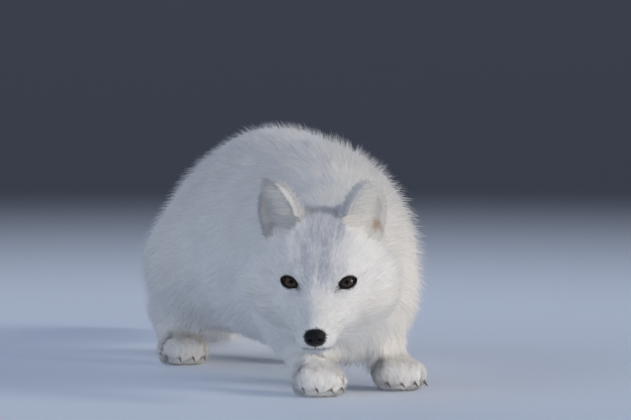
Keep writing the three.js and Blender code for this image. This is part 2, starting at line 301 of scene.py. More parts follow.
# The grids of the regions: their steps, and how softly one region passes into the next.
BODY_REGIONS = {"step": 8.0, "softness": 9.0}
HEAD_REGIONS = {"step": 3.0, "softness": 2.6}


def tree_of(points):
    tree = kdtree.KDTree(len(points))
    for i, p in enumerate(points.tolist()):
        tree.insert(p, i)
    tree.balance()
    return tree


def nearest(tree, points):
    return np.fromiter((tree.find(p)[1] for p in points.tolist()), np.int64, len(points))


def region_samples():
    """Points spread over the solids, and the region of each."""
    points, labels = [], []
    for region, names in REGIONS.items():
        for name in names:
            corners, triangles = node_mesh(name)
            a, b, c = (corners[triangles[:, i]] for i in range(3))
            points += [(a + b * u + c * v) / (1 + u + v) for u, v in SPREAD]
            labels += [np.full(len(a), REGION[region])] * len(SPREAD)
    return tree_of(np.concatenate(points)), np.concatenate(labels)


REGION_TREE, REGION_LABELS = region_samples()


def region_weights(low, high, step, softness):
    """A grid of the share that each region has in each place."""
    shape = tuple(np.ceil((np.asarray(high) - low) / step).astype(int) + 1)
    labels = REGION_LABELS[nearest(REGION_TREE, points_of(low, step, shape))]
    weights = np.eye(len(REGIONS), dtype=np.float32)[labels].reshape(*shape, -1)
    return Grid(low, step, blurred(weights, softness / step))


# ---------------------------------------------------------------- the coat's depth, lie and length

# In each region: the coat's depth over the skin and how far its tufts run along it, in millimetres, its tufts
# on each square millimetre, and how far its longest single hairs stand out.
COAT = {
    "head": (6, 10, 0.92, 3.0),
    "ears": (1.5, 5, 1.0, 0.0),
    "neck": (15, 28, 0.54, 9.0),
    "chest": (16, 30, 0.48, 6.0),
    "loin": (16, 31, 0.47, 3.0),
    "rump": (17, 32, 0.44, 3.0),
    "tail": (20, 34, 0.40, 5.0),
    "legs": (7, 17, 1.0, 0.0),
    "paws": (4, 10, 0.78, 0.0),
}
DEPTHS, LIES, PER_MM2, STRAYS = np.array([COAT[name] for name in REGIONS]).T.copy()
DEPTHS, LIES = DEPTHS.astype(np.float32), LIES.astype(np.float32)

# On the head, depth and run by the distance ahead of the eyes, for the top of the head and for its sides.
HEAD_STATIONS = [-90, -62, -42, -24, -8, 8, 30, 58, 70]
TOP_DEPTH = [14, 10, 7.5, 5.5, 4, 3, 2.2, 1.3, 0.8]
SIDE_DEPTH = [15, 14, 12, 9, 5.5, 4, 2.8, 1.4, 0.8]
TOP_LIE = [26, 19, 16, 14, 12, 10, 7, 4, 2.6]
SIDE_LIE = [30, 30, 27, 21, 14, 10, 7, 4, 2.6]


def head_value(points, top, side):
    place = in_head(points)
    over = np.interp(place[:, 1], HEAD_STATIONS, top)
    round_side = np.interp(place[:, 1], HEAD_STATIONS, side)
    sideness = np.maximum(rise(20, 46, np.abs(place[:, 0])), rise(-12, -34, place[:, 2]))
    return mix(over, round_side, sideness)


def coat_value(points, weights, values, top, side):
    """A region's value blended over the regions, with the head's own stations on the head."""
    per_region = weights * values
    on_head = weights[:, REGION["head"]]
    return per_region.sum(1) - per_region[:, REGION["head"]] + on_head * head_value(points, top, side)


def coat_depth(points, weights):
    return coat_value(points, weights, DEPTHS, TOP_DEPTH, SIDE_DEPTH)


def coat_lie(points, weights):
    return coat_value(points, weights, LIES, TOP_LIE, SIDE_LIE)


class Surface:
    """The solids' outer surface as a distance field, with the regions and the coat's depth on grids."""

    def __init__(self):
        self.body, fine, low = envelope()
        body_high = self.body.low + BODY_STEP * np.array(self.body.values.shape[:3])
        head_high = low + HEAD_STEP * np.array(fine.shape)
        self.body_regions = region_weights(self.body.low, body_high, **BODY_REGIONS)
        self.head_regions = region_weights(low, head_high, **HEAD_REGIONS)
        self.low, self.high = low, head_high
        ears = self.head_regions.onto(low, HEAD_STEP, fine.shape)[..., REGION["ears"]]
        sharp = blurred(fine, EAR_SOFT / HEAD_STEP)
        soft = blurred(fine, HEAD_SOFT / HEAD_STEP)
        near = mix(soft, sharp, rise(0.1, 0.5, ears))
        deep = self.body.onto(low, HEAD_STEP, fine.shape)
        near = mix(near, deep, rise(HEAD_BAND - 5, HEAD_BAND - 2, np.abs(near)))
        self.head = Grid(low, HEAD_STEP, near.astype(np.float32))
        self.slopes = []
        for grid in (self.body, self.head):
            slope = np.stack(np.gradient(grid.values[..., 0], grid.step), axis=-1)
            self.slopes.append(Grid(grid.low, grid.step, slope.astype(np.float32)))

    def head_share(self, points):
        """How much the finer grid round the head counts at each point."""
        inside = np.minimum(points - self.low, self.high - points).min(1)
        return rise(*HEAD_FADE, inside)

    def blend(self, points, on_body, on_head):
        share = self.head_share(points)
        some = share > 0
        values = on_body.sample(points)
        if some.any():
            extra = share[some] if values.ndim == 1 else share[some][:, None]
            values[some] = mix(values[some], on_head.sample(points[some]), extra)
        return values

    def distance(self, points):
        return self.blend(points, self.body, self.head)

    def outward(self, points):
        return unit(self.blend(points, *self.slopes))

    def regions(self, points):
        weights = self.blend(points, self.body_regions, self.head_regions)
        return weights / weights.sum(1, keepdims=True)

    def skin_array(self, grid, regions):
        """The skin's own distance field on one of the two grids. The coat thins towards the ears' roots."""
        shape = regions.values.shape[:3]
        points = points_of(regions.low, regions.step, shape)
        weights = regions.values.reshape(-1, len(REGIONS))
        depth = coat_depth(points, weights).reshape(shape)
        ears = blurred(regions.values[..., REGION["ears"]], EAR_ROOT / regions.step)
        depth = mix(depth, COAT["ears"][0], rise(0.02, 0.3, ears))
        depth = Grid(regions.low, regions.step, depth)
        return grid.values[..., 0] + depth.onto(grid.low, grid.step, grid.values.shape[:3])


# ---------------------------------------------------------------- the skin

SKIN_STEP = 3.4  # of the body's skin
CUT_BEHIND = 74  # where the finer skin of the head meets the body's, behind the eyes
CUT_STRIP = 1.5
EAR_ROOT = 6
CHIN_HEIGHT = 36  # what is lower and in front of that cut belongs to the fore paws


def surface_mesh(values, low, step):
    """The zero surface of a dense field as points and quads that face outwards."""
    limit = 3.0 * step
    grid = openvdb.FloatGrid(limit)
    grid.copyFromArray(np.clip(values, -limit, limit).astype(np.float32))
    points, quads = grid.convertToQuads(isovalue=0.0)
    points = points * step + low
    quads = quads.astype(np.int64)
    a, b, c, d = (points[quads[:, i]] for i in range(4))
    volume = dots(a, np.cross(b, c)).sum() + dots(a, np.cross(c, d)).sum()
    return points, quads if volume > 0 else quads[:, ::-1]


def bmesh_of(points, faces):
    mesh = bpy.data.meshes.new("part")
    mesh.from_pydata(points.tolist(), [], faces.tolist())
    bm = bmesh.new()
    bm.from_mesh(mesh)
    bpy.data.meshes.remove(mesh)
    return bm


def largest_part(bm):
    """Deletes all but the largest connected part."""
    seen, best = set(), []
    for start in bm.verts:
        if start in seen:
            continue
        seen.add(start)
        part, edge_of_part = [start], [start]
        while edge_of_part:
            vert = edge_of_part.pop()
            for edge in vert.link_edges:
                other = edge.other_vert(vert)
                if other not in seen:
                    seen.add(other)
                    part.append(other)
                    edge_of_part.append(other)
        if len(part) > len(best):
            best = part
    keep = set(best)
    bmesh.ops.delete(bm, geom=[v for v in bm.verts if v not in keep], context="VERTS")


def skin_bmesh(surface):
    """The whole skin: the finer skin of the head joined to the body's by a narrow strip."""
    level = unit(np.array([FORWARD[0], FORWARD[1], 0.0]))
    behind = EYE_MIDDLE - level * CUT_BEHIND

    def cut(bm, place, in_front):
        everything = bm.verts[:] + bm.edges[:] + bm.faces[:]
        bmesh.ops.bisect_plane(bm, geom=everything, dist=1e-4, plane_co=place, plane_no=level)
        gone = []
        for face in bm.faces:
            centre = np.array(face.calc_center_median())
            ahead = (centre - place) @ level > 0
            if in_front and ahead and centre[2] > CHIN_HEIGHT:
                gone.append(face)
            if not in_front and not ahead:
                gone.append(face)
        bmesh.ops.delete(bm, geom=gone, context="FACES")
        largest_part(bm)

    values = surface.skin_array(surface.head, surface.head_regions)
    head = bmesh_of(*surface_mesh(values, surface.head.low, HEAD_STEP))
    cut(head, behind + level * CUT_STRIP, in_front=False)

    values = surface.skin_array(surface.body, surface.body_regions)
    coarse = Grid(surface.body.low, BODY_STEP, values)
    shape = tuple(((np.array(values.shape) - 1) * BODY_STEP / SKIN_STEP).astype(int))
    values = coarse.onto(coarse.low, SKIN_STEP, shape)
    body = bmesh_of(*surface_mesh(values, coarse.low, SKIN_STEP))
    cut(body, behind - level * CUT_STRIP, in_front=True)

    mesh = bpy.data.meshes.new("head")
    head.to_mesh(mesh)
    body.from_mesh(mesh)
    bpy.data.meshes.remove(mesh)
    head.free()
    rim = [edge for edge in body.edges if edge.is_boundary]
    bmesh.ops.bridge_loops(body, edges=rim)
    bmesh.ops.triangulate(body, faces=[f for f in body.faces if len(f.verts) > 4])
    return body


# ---------------------------------------------------------------- eyes and lids

BALL = (corners_of("eye_left")[1][0] - corners_of("eye_left")[0][0]) / 2
OPENING = {"inner": -11.3, "outer": 10.8, "upper": 4.8, "lower": 4.1}
BEAK = 2.8  # length of the narrow inner corner
LID = {"thick": 1.0, "edge": 1.2, "fade": 7.0, "inner_fade": 2.8}
SLANT = math.radians(22)  # how much higher the outer corner lies
GAZE = math.radians(-18)  # towards the camera
GAZE_RISE = 0.08
EYE_AIM = (0.2, 0.9, 0.34)  # of each opening, to its own side, ahead and up
EYE_REACH = 24  # what is nearer to the ball's centre follows the lids
BALL_SUNK = 1.6  # how deep the skin lies behind the ball's surface in the opening


class Eye:
    """One eye's frame: `ahead` out through the opening, `out` towards its outer corner, `up` over it."""

    def __init__(self, side):
        self.side = SIDES[side]
        self.centre = centre_of(f"eye_{side}")
        aside, ahead, up = EYE_AIM
        self.ahead = unit(np.array([aside * self.side, ahead, up]) @ HEAD_AXES)
        level = unit(SIDEWAYS * self.side - self.ahead * (SIDEWAYS @ self.ahead) * self.side)
        over = np.cross(self.ahead, level)
        over = over * np.sign(over @ UPWARD)
        self.out = math.cos(SLANT) * level + math.sin(SLANT) * over
        self.up = math.cos(SLANT) * over - math.sin(SLANT) * level

    def near(self, points):
        return np.linalg.norm(points - self.centre, axis=1) < EYE_REACH

    def arcs(self, points):
        """Places as arcs along the ball (x to the outer corner, y up), and distances from its centre."""
        away = points - self.centre
        distance = np.linalg.norm(away, axis=1)
        away = away / distance[:, None]
        angle = np.arccos(np.clip(away @ self.ahead, -1, 1))
        x, y = away @ self.out, away @ self.up
        scale = BALL * angle / np.maximum(np.hypot(x, y), 1e-6)
        return np.stack([x * scale, y * scale], axis=1), distance

    def at(self, arcs, distance):
        angle = np.hypot(arcs[:, 0], arcs[:, 1]) / BALL
        flat = np.sinc(angle / math.pi) / BALL
        away = np.cos(angle)[:, None] * self.ahead
        away = away + (arcs[:, :1] * self.out + arcs[:, 1:] * self.up) * flat[:, None]
        return self.centre + unit(away) * np.reshape(distance, (-1, 1))


def opening_heights(x):
    """The lids' edges above and below the eye's long axis."""
    inner, outer = OPENING["inner"] + BEAK, OPENING["outer"]
    middle, half = (inner + outer) / 2, (outer - inner) / 2
    t = np.clip((x - middle) / half, -1, 1)
    arch = (1 - np.abs(t) ** 2.1) ** 0.85
    dip = -0.06 * np.minimum(x - inner - 2, 0) ** 2
    beak = 0.45 * rise(OPENING["inner"], inner, x) * rise(outer, inner, x)
    upper = OPENING["upper"] * arch * (1 - 0.18 * t) + beak
    lower = OPENING["lower"] * arch * (1 + 0.05 * t) + beak
    return dip + upper, dip - lower


def opening_outline(count=96):
    turn = 2 * math.pi * np.arange(count) / count
    inner, outer = OPENING["inner"], OPENING["outer"]
    x = (inner + outer) / 2 + (outer - inner) / 2 * np.cos(turn)
    upper, lower = opening_heights(x)
    return np.stack([x, np.where(np.sin(turn) >= 0, upper, lower)], axis=1)


OUTLINE = opening_outline()


def outside_opening(arcs):
    """Distance from the lids' edge, negative inside the opening."""
    gaps = np.linalg.norm(arcs[:, None] - OUTLINE[None], axis=2).min(1)
    upper, lower = opening_heights(arcs[:, 0])
    inside = (arcs[:, 1] < upper) & (arcs[:, 1] > lower)
    inside &= (arcs[:, 0] > OPENING["inner"]) & (arcs[:, 0] < OPENING["outer"])
    return np.where(inside, -gaps, gaps)


EYES = {side: Eye(side) for side in SIDES}
INNER_SIDE = (-7.0, -10.0)  # where the skin stops following the ball and rises to the muzzle


def clear_of_lids(arcs, distance):
    """Distance from the lids' edge, which grows with the height over them beside the muzzle."""
    lifted = rise(*INNER_SIDE, arcs[:, 0]) * np.maximum(distance - BALL - 1.5, 0)
    return outside_opening(arcs) + lifted


NOSE_MIDDLE = in_head(centre_of("nose")[None])[0]
NOSE_EDGE = {"side": 9.6, "up": 7.5, "sunk": 61.0, "clear": 74.0}


def nose_span(points):
    """How far a place is from the nose's middle as seen from ahead, where 1 is the leather's edge."""
    side, ahead, up = (in_head(points) - NOSE_MIDDLE).T
    return np.where(ahead > -16, np.hypot(side / NOSE_EDGE["side"], up / NOSE_EDGE["up"]), 9.0)


def sink_nose(points):
    """Takes the skin back behind the nose leather."""
    span = nose_span(points)
    place = in_head(points)
    limit = mix(NOSE_EDGE["sunk"], NOSE_EDGE["clear"], rise(0.72, 1.1, span))
    moved = np.minimum(place[:, 1], limit) - place[:, 1]
    return points + moved[:, None] * FORWARD


def shape_lids(points):
    """Draws the skin over the ball as two lids, and behind it inside their opening."""
    for eye in EYES.values():
        close = eye.near(points)
        close &= (points - eye.centre) @ eye.ahead > -2  # the half in front
        arcs, distance = eye.arcs(points[close])
        gap = outside_opening(arcs)
        lid = BALL + LID["thick"]
        fade = mix(LID["fade"], LID["inner_fade"], rise(*INNER_SIDE, arcs[:, 0]))
        new = mix(np.full(len(gap), lid), distance, rise(LID["edge"], fade, gap))
        new = np.maximum(new, BALL + 0.7 * LID["thick"])
        new = np.where(gap < 0, mix(lid, BALL - BALL_SUNK, rise(0, 0.9, -gap)), new)
        points[close] = eye.at(arcs, new)
    return points


# ---------------------------------------------------------------- meshes


def add_object(name, data):
    made = bpy.data.objects.new(name, data)
    bpy.context.scene.collection.objects.link(made)
    return made


def mesh_of(name, points, faces):
    """A smooth mesh object from points in millimetres, and faces as one array for each number of corners."""
    mesh = bpy.data.meshes.new(name)
    mesh.vertices.add(len(points))
    mesh.vertices.foreach_set("co", (points * MM).astype(np.float32).ravel())
    sizes = np.concatenate([np.full(len(f), f.shape[1], np.int32) for f in faces])
    corners = np.concatenate([f.ravel() for f in faces]).astype(np.int32)
    mesh.loops.add(len(corners))
    mesh.loops.foreach_set("vertex_index", corners)
    mesh.polygons.add(len(sizes))
    starts = np.concatenate([[0], np.cumsum(sizes)[:-1]]).astype(np.int32)
    mesh.polygons.foreach_set("loop_start", starts)
    mesh.polygons.foreach_set("use_smooth", np.ones(len(sizes), bool))
    mesh.update(calc_edges=True)
    return add_object(name, mesh)


def give_attribute(obj, name, kind, field, values):
    attribute = obj.data.attributes.new(name, kind, "POINT")
    attribute.data.foreach_set(field, np.ascontiguousarray(values, np.float32).ravel())


def give_colours(obj, colours):
    give_attribute(obj, "tint", "FLOAT_COLOR", "color", np.hstack([colours, np.ones((len(colours), 1))]))


def give_unwrap(obj, places):
    """Writes the OFBake map, with one place for each corner of each face."""
    layer = obj.data.uv_layers.new(name="OFBake")
    layer.data.foreach_set("uv", np.clip(places, 0, 1).astype(np.float32).ravel())


def as_piece(obj, material, nodes=()):
    """Makes an object a piece of the fox: it rides with the body and may stand for CAD nodes."""
    obj.data.materials.clear()
    obj.data.materials.append(material)
    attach(obj, "root")
    if nodes:
        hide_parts(*nodes)
    return obj


def ball_mesh(around, rings):
    """A unit sphere round +Z: points and faces."""
    turn = 2 * math.pi * np.arange(around) / around
    tilt = math.pi * np.arange(1, rings) / rings
    tilts, turns = np.meshgrid(tilt, turn, indexing="ij")
    points = np.stack([np.sin(tilts) * np.cos(turns), np.sin(tilts) * np.sin(turns), np.cos(tilts)], -1)
    points = np.concatenate([points.reshape(-1, 3), [[0, 0, 1], [0, 0, -1]]])
    row, step = np.meshgrid(np.arange(rings - 2), np.arange(around), indexing="ij")
    here = (row * around + step).ravel()
    beside = (row * around + (step + 1) % around).ravel()
    quads = np.stack([here, here + around, beside + around, beside], axis=1)
    k = np.arange(around)
    after = (k + 1) % around
    top, bottom = len(points) - 2, len(points) - 1
    last = (rings - 2) * around
    caps = np.concatenate(
        [
            np.stack([np.full(around, top), k, after], axis=1),
            np.stack([np.full(around, bottom), last + after, last + k], axis=1),
        ]
    )
    return points, [quads, caps]


def sweep(points, radii, across, closed=False, around=8):
    """A tube along points, with (wide, high) radii. across is the direction of its wider side."""
    count = len(points)
    if closed:
        along = unit(np.roll(points, -1, 0) - np.roll(points, 1, 0))
    else:
        along = unit(np.gradient(points, axis=0))
    wide = flattened(across, along)
    high = np.cross(along, wide)
    turn = 2 * math.pi * np.arange(around) / around
    rings = points[:, None] + wide[:, None] * (radii[:, :1] * np.cos(turn))[..., None]
    rings = rings + high[:, None] * (radii[:, 1:] * np.sin(turn))[..., None]
    made = rings.reshape(-1, 3)
    row = np.arange(count if closed else count - 1)
    ring, k = np.meshgrid(row, np.arange(around), indexing="ij")
    after = (ring + 1) % count
    beside = (k + 1) % around
    here, there = ring * around, after * around
    quads = np.stack([here + k, here + beside, there + beside, there + k], -1)
    faces = [quads.reshape(-1, 4)]
    if not closed:
        ends = [np.arange(around)[::-1], (count - 1) * around + np.arange(around)]
        faces.append(np.stack(ends))
    return made, faces


# ---------------------------------------------------------------- materials


class Shading:
    """The shader nodes of a material or a world."""

    def __init__(self, owner):
        owner.use_nodes = True
        self.nodes, self.links = owner.node_tree.nodes, owner.node_tree.links

    def give(self, node, inputs):
        """Sets a node's inputs, each to another node's output or to a constant on its socket."""
        for name, value in inputs.items():
            if isinstance(value, bpy.types.NodeSocket):
                self.links.new(value, node.inputs[name])
            else:
                node.inputs[name].default_value = value

    def add(self, kind, inputs=(), **settings):
        """A new node's outputs."""
        node = self.nodes.new(f"ShaderNode{kind}")
        for key, value in settings.items():
            setattr(node, key, value)
        self.give(node, dict(inputs))
        return node.outputs

    def ramp(self, amount, stops):
        """A colour that follows an amount through (amount, colour) stops."""
        node = self.nodes.new("ShaderNodeValToRGB")
        self.give(node, {"Fac": amount})
        elements = node.color_ramp.elements
        while len(elements) < len(stops):
            elements.new(0.5)
        for element, (place, colour) in zip(elements, stops):
            element.position = place
            element.color = (*colour, 1)
        return node.outputs["Color"]

    def mottle(self, stops, place=None, **inputs):
        """Noise through (amount, colour) stops, and its amount, in the object's own frame or at a place."""
        place = self.add("TexCoord")["Object"] if place is None else place
        amount = self.add("TexNoise", {"Vector": place, **inputs})["Fac"]
        return self.ramp(amount, stops), amount

    def multiplied(self, a, b):
        settings = {"data_type": "RGBA", "blend_type": "MULTIPLY"}
        return self.add("Mix", {"Factor": 1, "A": a, "B": b}, **settings)["Result"]


class Coating(Shading):
    """A material with a Principled shader. Its constants are given by name, with _ for each space."""

    def __init__(self, name, **constants):
        self.material = bpy.data.materials.new(name)
        super().__init__(self.material)
        self.surface(**constants)

    def surface(self, **inputs):
        shader = self.nodes["Principled BSDF"]
        self.give(shader, {name.replace("_", " "): value for name, value in inputs.items()})

    def raised(self, height, strength, distance, **settings):
        """Bumps the surface by a height."""
        inputs = {"Strength": strength, "Distance": distance, "Height": height}
        self.surface(Normal=self.add("Bump", inputs, **settings)["Normal"])


def fur_material():
    """Fur and skin: the tint comes from the mesh, with a fine mottle in the object's own frame."""
    fur = Coating("fur", Roughness=0.8, Sheen_Weight=0.35, Sheen_Roughness=0.45, IOR=1.45)
    tint = fur.add("Attribute", attribute_name="tint")["Color"]
    stops = [(0.3, (0.9, 0.9, 0.915)), (0.7, (1, 1, 1))]
    shade, _ = fur.mottle(stops, Scale=300, Detail=3.0, Roughness=0.6)
    fur.surface(Base_Color=fur.multiplied(tint, shade))
    return fur.material


# The ball's colours by the angle from the gaze: pupil, iris with a dark edge, and dark brown white.
EYE_RINGS = [
    (0.0, (0.004, 0.004, 0.004)),
    (0.165, (0.003, 0.003, 0.003)),
    (0.19, (0.043, 0.033, 0.023)),
    (0.40, (0.080, 0.060, 0.043)),
    (0.56, (0.058, 0.043, 0.031)),
    (0.63, (0.008, 0.006, 0.005)),
    (0.80, (0.030, 0.014, 0.010)),
    (1.0, (0.060, 0.026, 0.018)),
]


def eye_material():
    """The ball: its rings, streaked, under a wet coat."""
    eye = Coating("eye", Roughness=0.3, Coat_Weight=0.7, Coat_Roughness=0.02, Coat_IOR=1.33, IOR=1.1)
    gaze = eye.add("Attribute", attribute_name="gaze")["Vector"]
    split = eye.add("SeparateXYZ", {"Vector": gaze})
    rings = eye.ramp(split["Z"], EYE_RINGS)
    flat = eye.add("CombineXYZ", {"X": split["X"], "Y": split["Y"]})["Vector"]
    stops = [(0.35, (0.6, 0.6, 0.55)), (0.65, (1.0, 0.97, 0.93))]
    streaks, _ = eye.mottle(stops, flat, Scale=5.0, Detail=4.0)
    eye.surface(Base_Color=eye.multiplied(rings, streaks))
    return eye.material


def leather_material(name, dark, light, grain, bump, roughness):
    """Bare skin in small pebbles, as on the nose, lighter on their tops and darker in the cracks as painted
    shade.
    """
    leather = Coating(name, Roughness=roughness, IOR=1.33)
    place = leather.add("TexCoord")["Object"]
    pebbles = leather.add("TexVoronoi", {"Vector": place, "Scale": grain})["Distance"]
    # painted shade: the colour darkens into the cracks between the pebbles and lightens on their tops
    leather.surface(Base_Color=leather.ramp(pebbles, [(0.1, light), (0.7, dark)]))
    leather.raised(pebbles, bump, 0.0004, invert=True)
    return leather.material


# ---------------------------------------------------------------- floor, light and camera

CAMERA = {"azimuth": -18.0, "elevation": 4.5, "distance": 5.5, "lens": 335.75, "sensor": 36.0}
# How far right of and below the picture's middle the eyes' middle shows, as shares of the picture's width.
EYES_SHOW = {"right": 0.00555, "below": 0.1141}
# The floor's colour is a painted pool of light: pale round the fox and fading dark far from it.
FLOOR = {"radius": 120, "pale": 0.7, "dark": 2.9}  # pale round the fox and dark far from it
# How far each light is right of, above and in front of the fox, as the camera sees it, how many degrees
# across it looks, its strength and its colour.
LIGHTS = {
    "key": ((2.1, 0.6, 1.05), 22, 1.72, (1.0, 0.945, 0.87)),
    "fill": ((-2.0, 0.8, 1.3), 48, 0.82, (0.80, 0.90, 1.06)),
    "bounce": ((0.8, 0.14, 2.3), 34, 0.55, (0.97, 0.97, 1.0)),
    "rear": ((-0.9, 0.55, -2.0), 60, 0.7, (0.90, 0.94, 1.0)),
}


def aim(thing, place, direction):
    thing.location = place
    thing.rotation_euler = Vector(direction).to_track_quat("-Z", "Y").to_euler()


def view_axes():
    turn, lift = math.radians(CAMERA["azimuth"]), math.radians(CAMERA["elevation"])
    back = Vector((math.sin(turn) * math.cos(lift), -math.cos(turn) * math.cos(lift), math.sin(lift)))
    right = Vector((0, 0, 1)).cross(back).normalized()
    return back, right, back.cross(right)


def add_camera():
    data = bpy.data.cameras.new("camera")
    data.lens = CAMERA["lens"]
    data.sensor_width = CAMERA["sensor"]
    data.clip_start, data.clip_end = 0.1, 200
    camera = add_object("camera", data)
    back, right, up = view_axes()
    across, below = (EYES_SHOW[way] * CAMERA["sensor"] / CAMERA["lens"] for way in ("right", "below"))
    target = Vector(EYE_MIDDLE * MM)
    aim(camera, target + back * CAMERA["distance"], -back - right * across + up * below)
    bpy.context.scene.camera = camera


def add_lights():
    """Wide, far, soft lights. Only the key is mirrored in the eyes and the nose."""
    back, right, _ = view_axes()
    level = Vector((back.x, back.y, 0)).normalized()
    for name, (place, softness, strength, colour) in LIGHTS.items():
        data = bpy.data.lights.new(name, "SUN")
        data.angle = math.radians(softness)
        data.energy = strength
        data.color = colour
        light = add_object(name, data)
        light.visible_glossy = name == "key"
        spot = right * place[0] + Vector((0, 0, place[1])) + level * place[2]
        aim(light, spot, -spot)


def add_floor():
    bpy.ops.mesh.primitive_circle_add(vertices=128, radius=FLOOR["radius"], fill_type="NGON")
    floor = bpy.context.object
    floor.name = "floor"
    snow = Coating("floor", Roughness=0.85)
    place = snow.add("TexCoord")["Object"]
    length = snow.add("VectorMath", {"Vector": place}, operation="LENGTH")["Value"]
    # painted light: pale near the fox and darkening with the distance from it, a painted pool of light
    span = {"Value": length, "From Min": FLOOR["pale"], "From Max": FLOOR["dark"]}
    reach = snow.add("MapRange", span, interpolation_type="SMOOTHSTEP")["Result"]
    snow.surface(Base_Color=snow.ramp(reach, [(0.0, (0.80, 0.86, 0.96)), (1.0, (0.040, 0.048, 0.068))]))
    floor.data.materials.append(snow.material)


def add_world():
    """A soft pale light from above, over a horizon as dark as the far floor."""
    world = bpy.data.worlds.new("world")
    air = Shading(world)
    way = air.add("TexCoord")["Generated"]
    height = air.add("SeparateXYZ", {"Vector": way})["Z"]
    sky = air.ramp(height, [(0.0, (0.118, 0.140, 0.196)), (0.2, (0.50, 0.60, 0.82))])
    air.give(air.nodes["Background"], {"Color": sky, "Strength": 0.35})
    bpy.context.scene.world = world


def add_stage():
    add_camera()
    add_floor()
    add_world()
    add_lights()
    bpy.context.scene.view_settings.view_transform = "Standard"


# ---------------------------------------------------------------- the lie of the coat

EAR_TURN = (-0.12, 0.2, 0.34)  # how the ears turn round the head's axes, in radians
EAR_ROOTS = {"side": 39.5, "ahead": -55.5, "up": 40.0}


class Ear:
    """One ear's frame: `out` away from the other ear, `front` out of its cup, `up` to its tip."""

    def __init__(self, side):
        self.side = SIDES[side]
        x, y, z = (angle * turn for angle, turn in zip(EAR_TURN, (1, self.side, self.side)))
        turned = Matrix.Rotation(z, 3, "Z") @ Matrix.Rotation(y, 3, "Y") @ Matrix.Rotation(x, 3, "X")
        in_fox = np.stack([SIDEWAYS, -FORWARD, UPWARD])
        columns = np.array(turned).T @ in_fox
        self.out = columns[0] * self.side
        self.front = -columns[1]
        self.up = columns[2]
        self.rusty = side == "left"  # only this ear's cup shows rust
        self.root = from_head(EAR_ROOTS["side"] * self.side, EAR_ROOTS["ahead"], EAR_ROOTS["up"])

    def places(self, points):
        """Points as (out, front, up) from the ear's root."""
        return (points - self.root) @ np.stack([self.out, self.front, self.up]).T


EARS = {side: Ear(side) for side in SIDES}
NOSE_POINT = from_head(0, 84, -20)
TAIL_START = centre_of("tail_root")
TAIL_MIDDLE = centre_of("tail_brush")
TAIL_CORNER = corners_of("tail_brush")[1]
TAIL_END = np.array([TAIL_CORNER[0] - 25, TAIL_CORNER[1], 18.0])
TAIL_WAY = unit(TAIL_END - TAIL_MIDDLE)
TAIL_POINT = TAIL_END + np.array([-7.0, 6.0, 9.0])  # where the hair of the tail's end comes together

# The way the coat runs on each region before it is laid along the skin.
RUN = {
    "neck": (0.0, 1.0, -0.55),
    "chest": (0.0, 1.0, -0.6),
    "loin": (0.0, 1.0, -0.4),
    "rump": (0.0, 1.0, -0.65),
    "legs": (0.0, 0.3, -1.0),
    "paws": (0.0, -1.0, -0.6),
}


def lie_of(points, normals, weights):
    """The direction along the skin in which the coat lies at each point."""
    total = np.zeros_like(points)
    for name, run in RUN.items():
        total += weights[:, REGION[name], None] * unit(np.array(run))
    place = in_head(points)
    on_head = unit(points - NOSE_POINT)
    sideness = rise(14, 40, np.abs(place[:, 0])) * rise(0, -40, place[:, 1])
    on_head = unit(on_head + 0.45 * sideness[:, None] * DOWN)
    total += weights[:, REGION["head"], None] * on_head
    to_middle = unit(TAIL_MIDDLE - TAIL_START)
    along = rise(TAIL_START[1] - 40, TAIL_MIDDLE[1] + 40, points[:, 1])[:, None]
    total += weights[:, REGION["tail"], None] * unit(mix(to_middle, TAIL_WAY, along))
    for ear in EARS.values():
        mine = np.sign(place[:, 0]) == ear.side
        share = weights[:, REGION["ears"], None] * mine[:, None]
        total += share * unit(ear.up + 0.25 * ear.out)
    return flattened(parted_at_eyes(total, points), normals)


def parted_at_eyes(lie, points):
    """Turns the coat aside where it would lie over an eye's opening."""
    for eye in EYES.values():
        close = np.flatnonzero(eye.near(points))
        arcs, _ = eye.arcs(points[close])
        edge = OUTLINE[np.linalg.norm(arcs[:, None] - OUTLINE[None], axis=2).argmin(1)]
        away = unit((arcs - edge) @ np.stack([eye.out, eye.up]))
        towards = np.minimum((lie[close] * away).sum(1), 0) * rise(9, 2.5, outside_opening(arcs))
        lie[close] -= 1.25 * towards[:, None] * away
    return lie


# ---------------------------------------------------------------- markings

WHITE = np.array([0.86, 0.85, 0.83])
# The cream is partly a painted warm light, laid only on the side the key light falls on.
CREAM_AND_PAINTED_WARM_LIGHT = np.array([0.84, 0.76, 0.66])
SLATE = np.array([0.46, 0.48, 0.54])
ASH_AND_PAINTED_SHADE = np.array([0.60, 0.59, 0.58])
IVORY = np.array([0.83, 0.80, 0.75])
RUST = np.array([0.42, 0.26, 0.16])
SOOT = np.array([0.03, 0.025, 0.025])
# The right ear's grey is darker than the left's, partly a painted shade of the ear that lies in shade.
EAR_GREY_AND_PAINTED_SHADE = {"left": np.array([0.62, 0.615, 0.60]), "right": np.array([0.51, 0.505, 0.505])}
RUST_SPOT = {"out": 13.0, "up": -12.0, "wide": 7.0}
LIP_LINE = ([8, 30, 50, 62, 70], [-51, -45.5, -41.5, -38.5, -34.5])  # its height by the distance ahead


def rust_spot(out, up):
    """1 at the middle of the rust in the ear's cup and 0 outside it."""
    return rise(1, 0.3, np.hypot(out - RUST_SPOT["out"], up - RUST_SPOT["up"]) / RUST_SPOT["wide"])


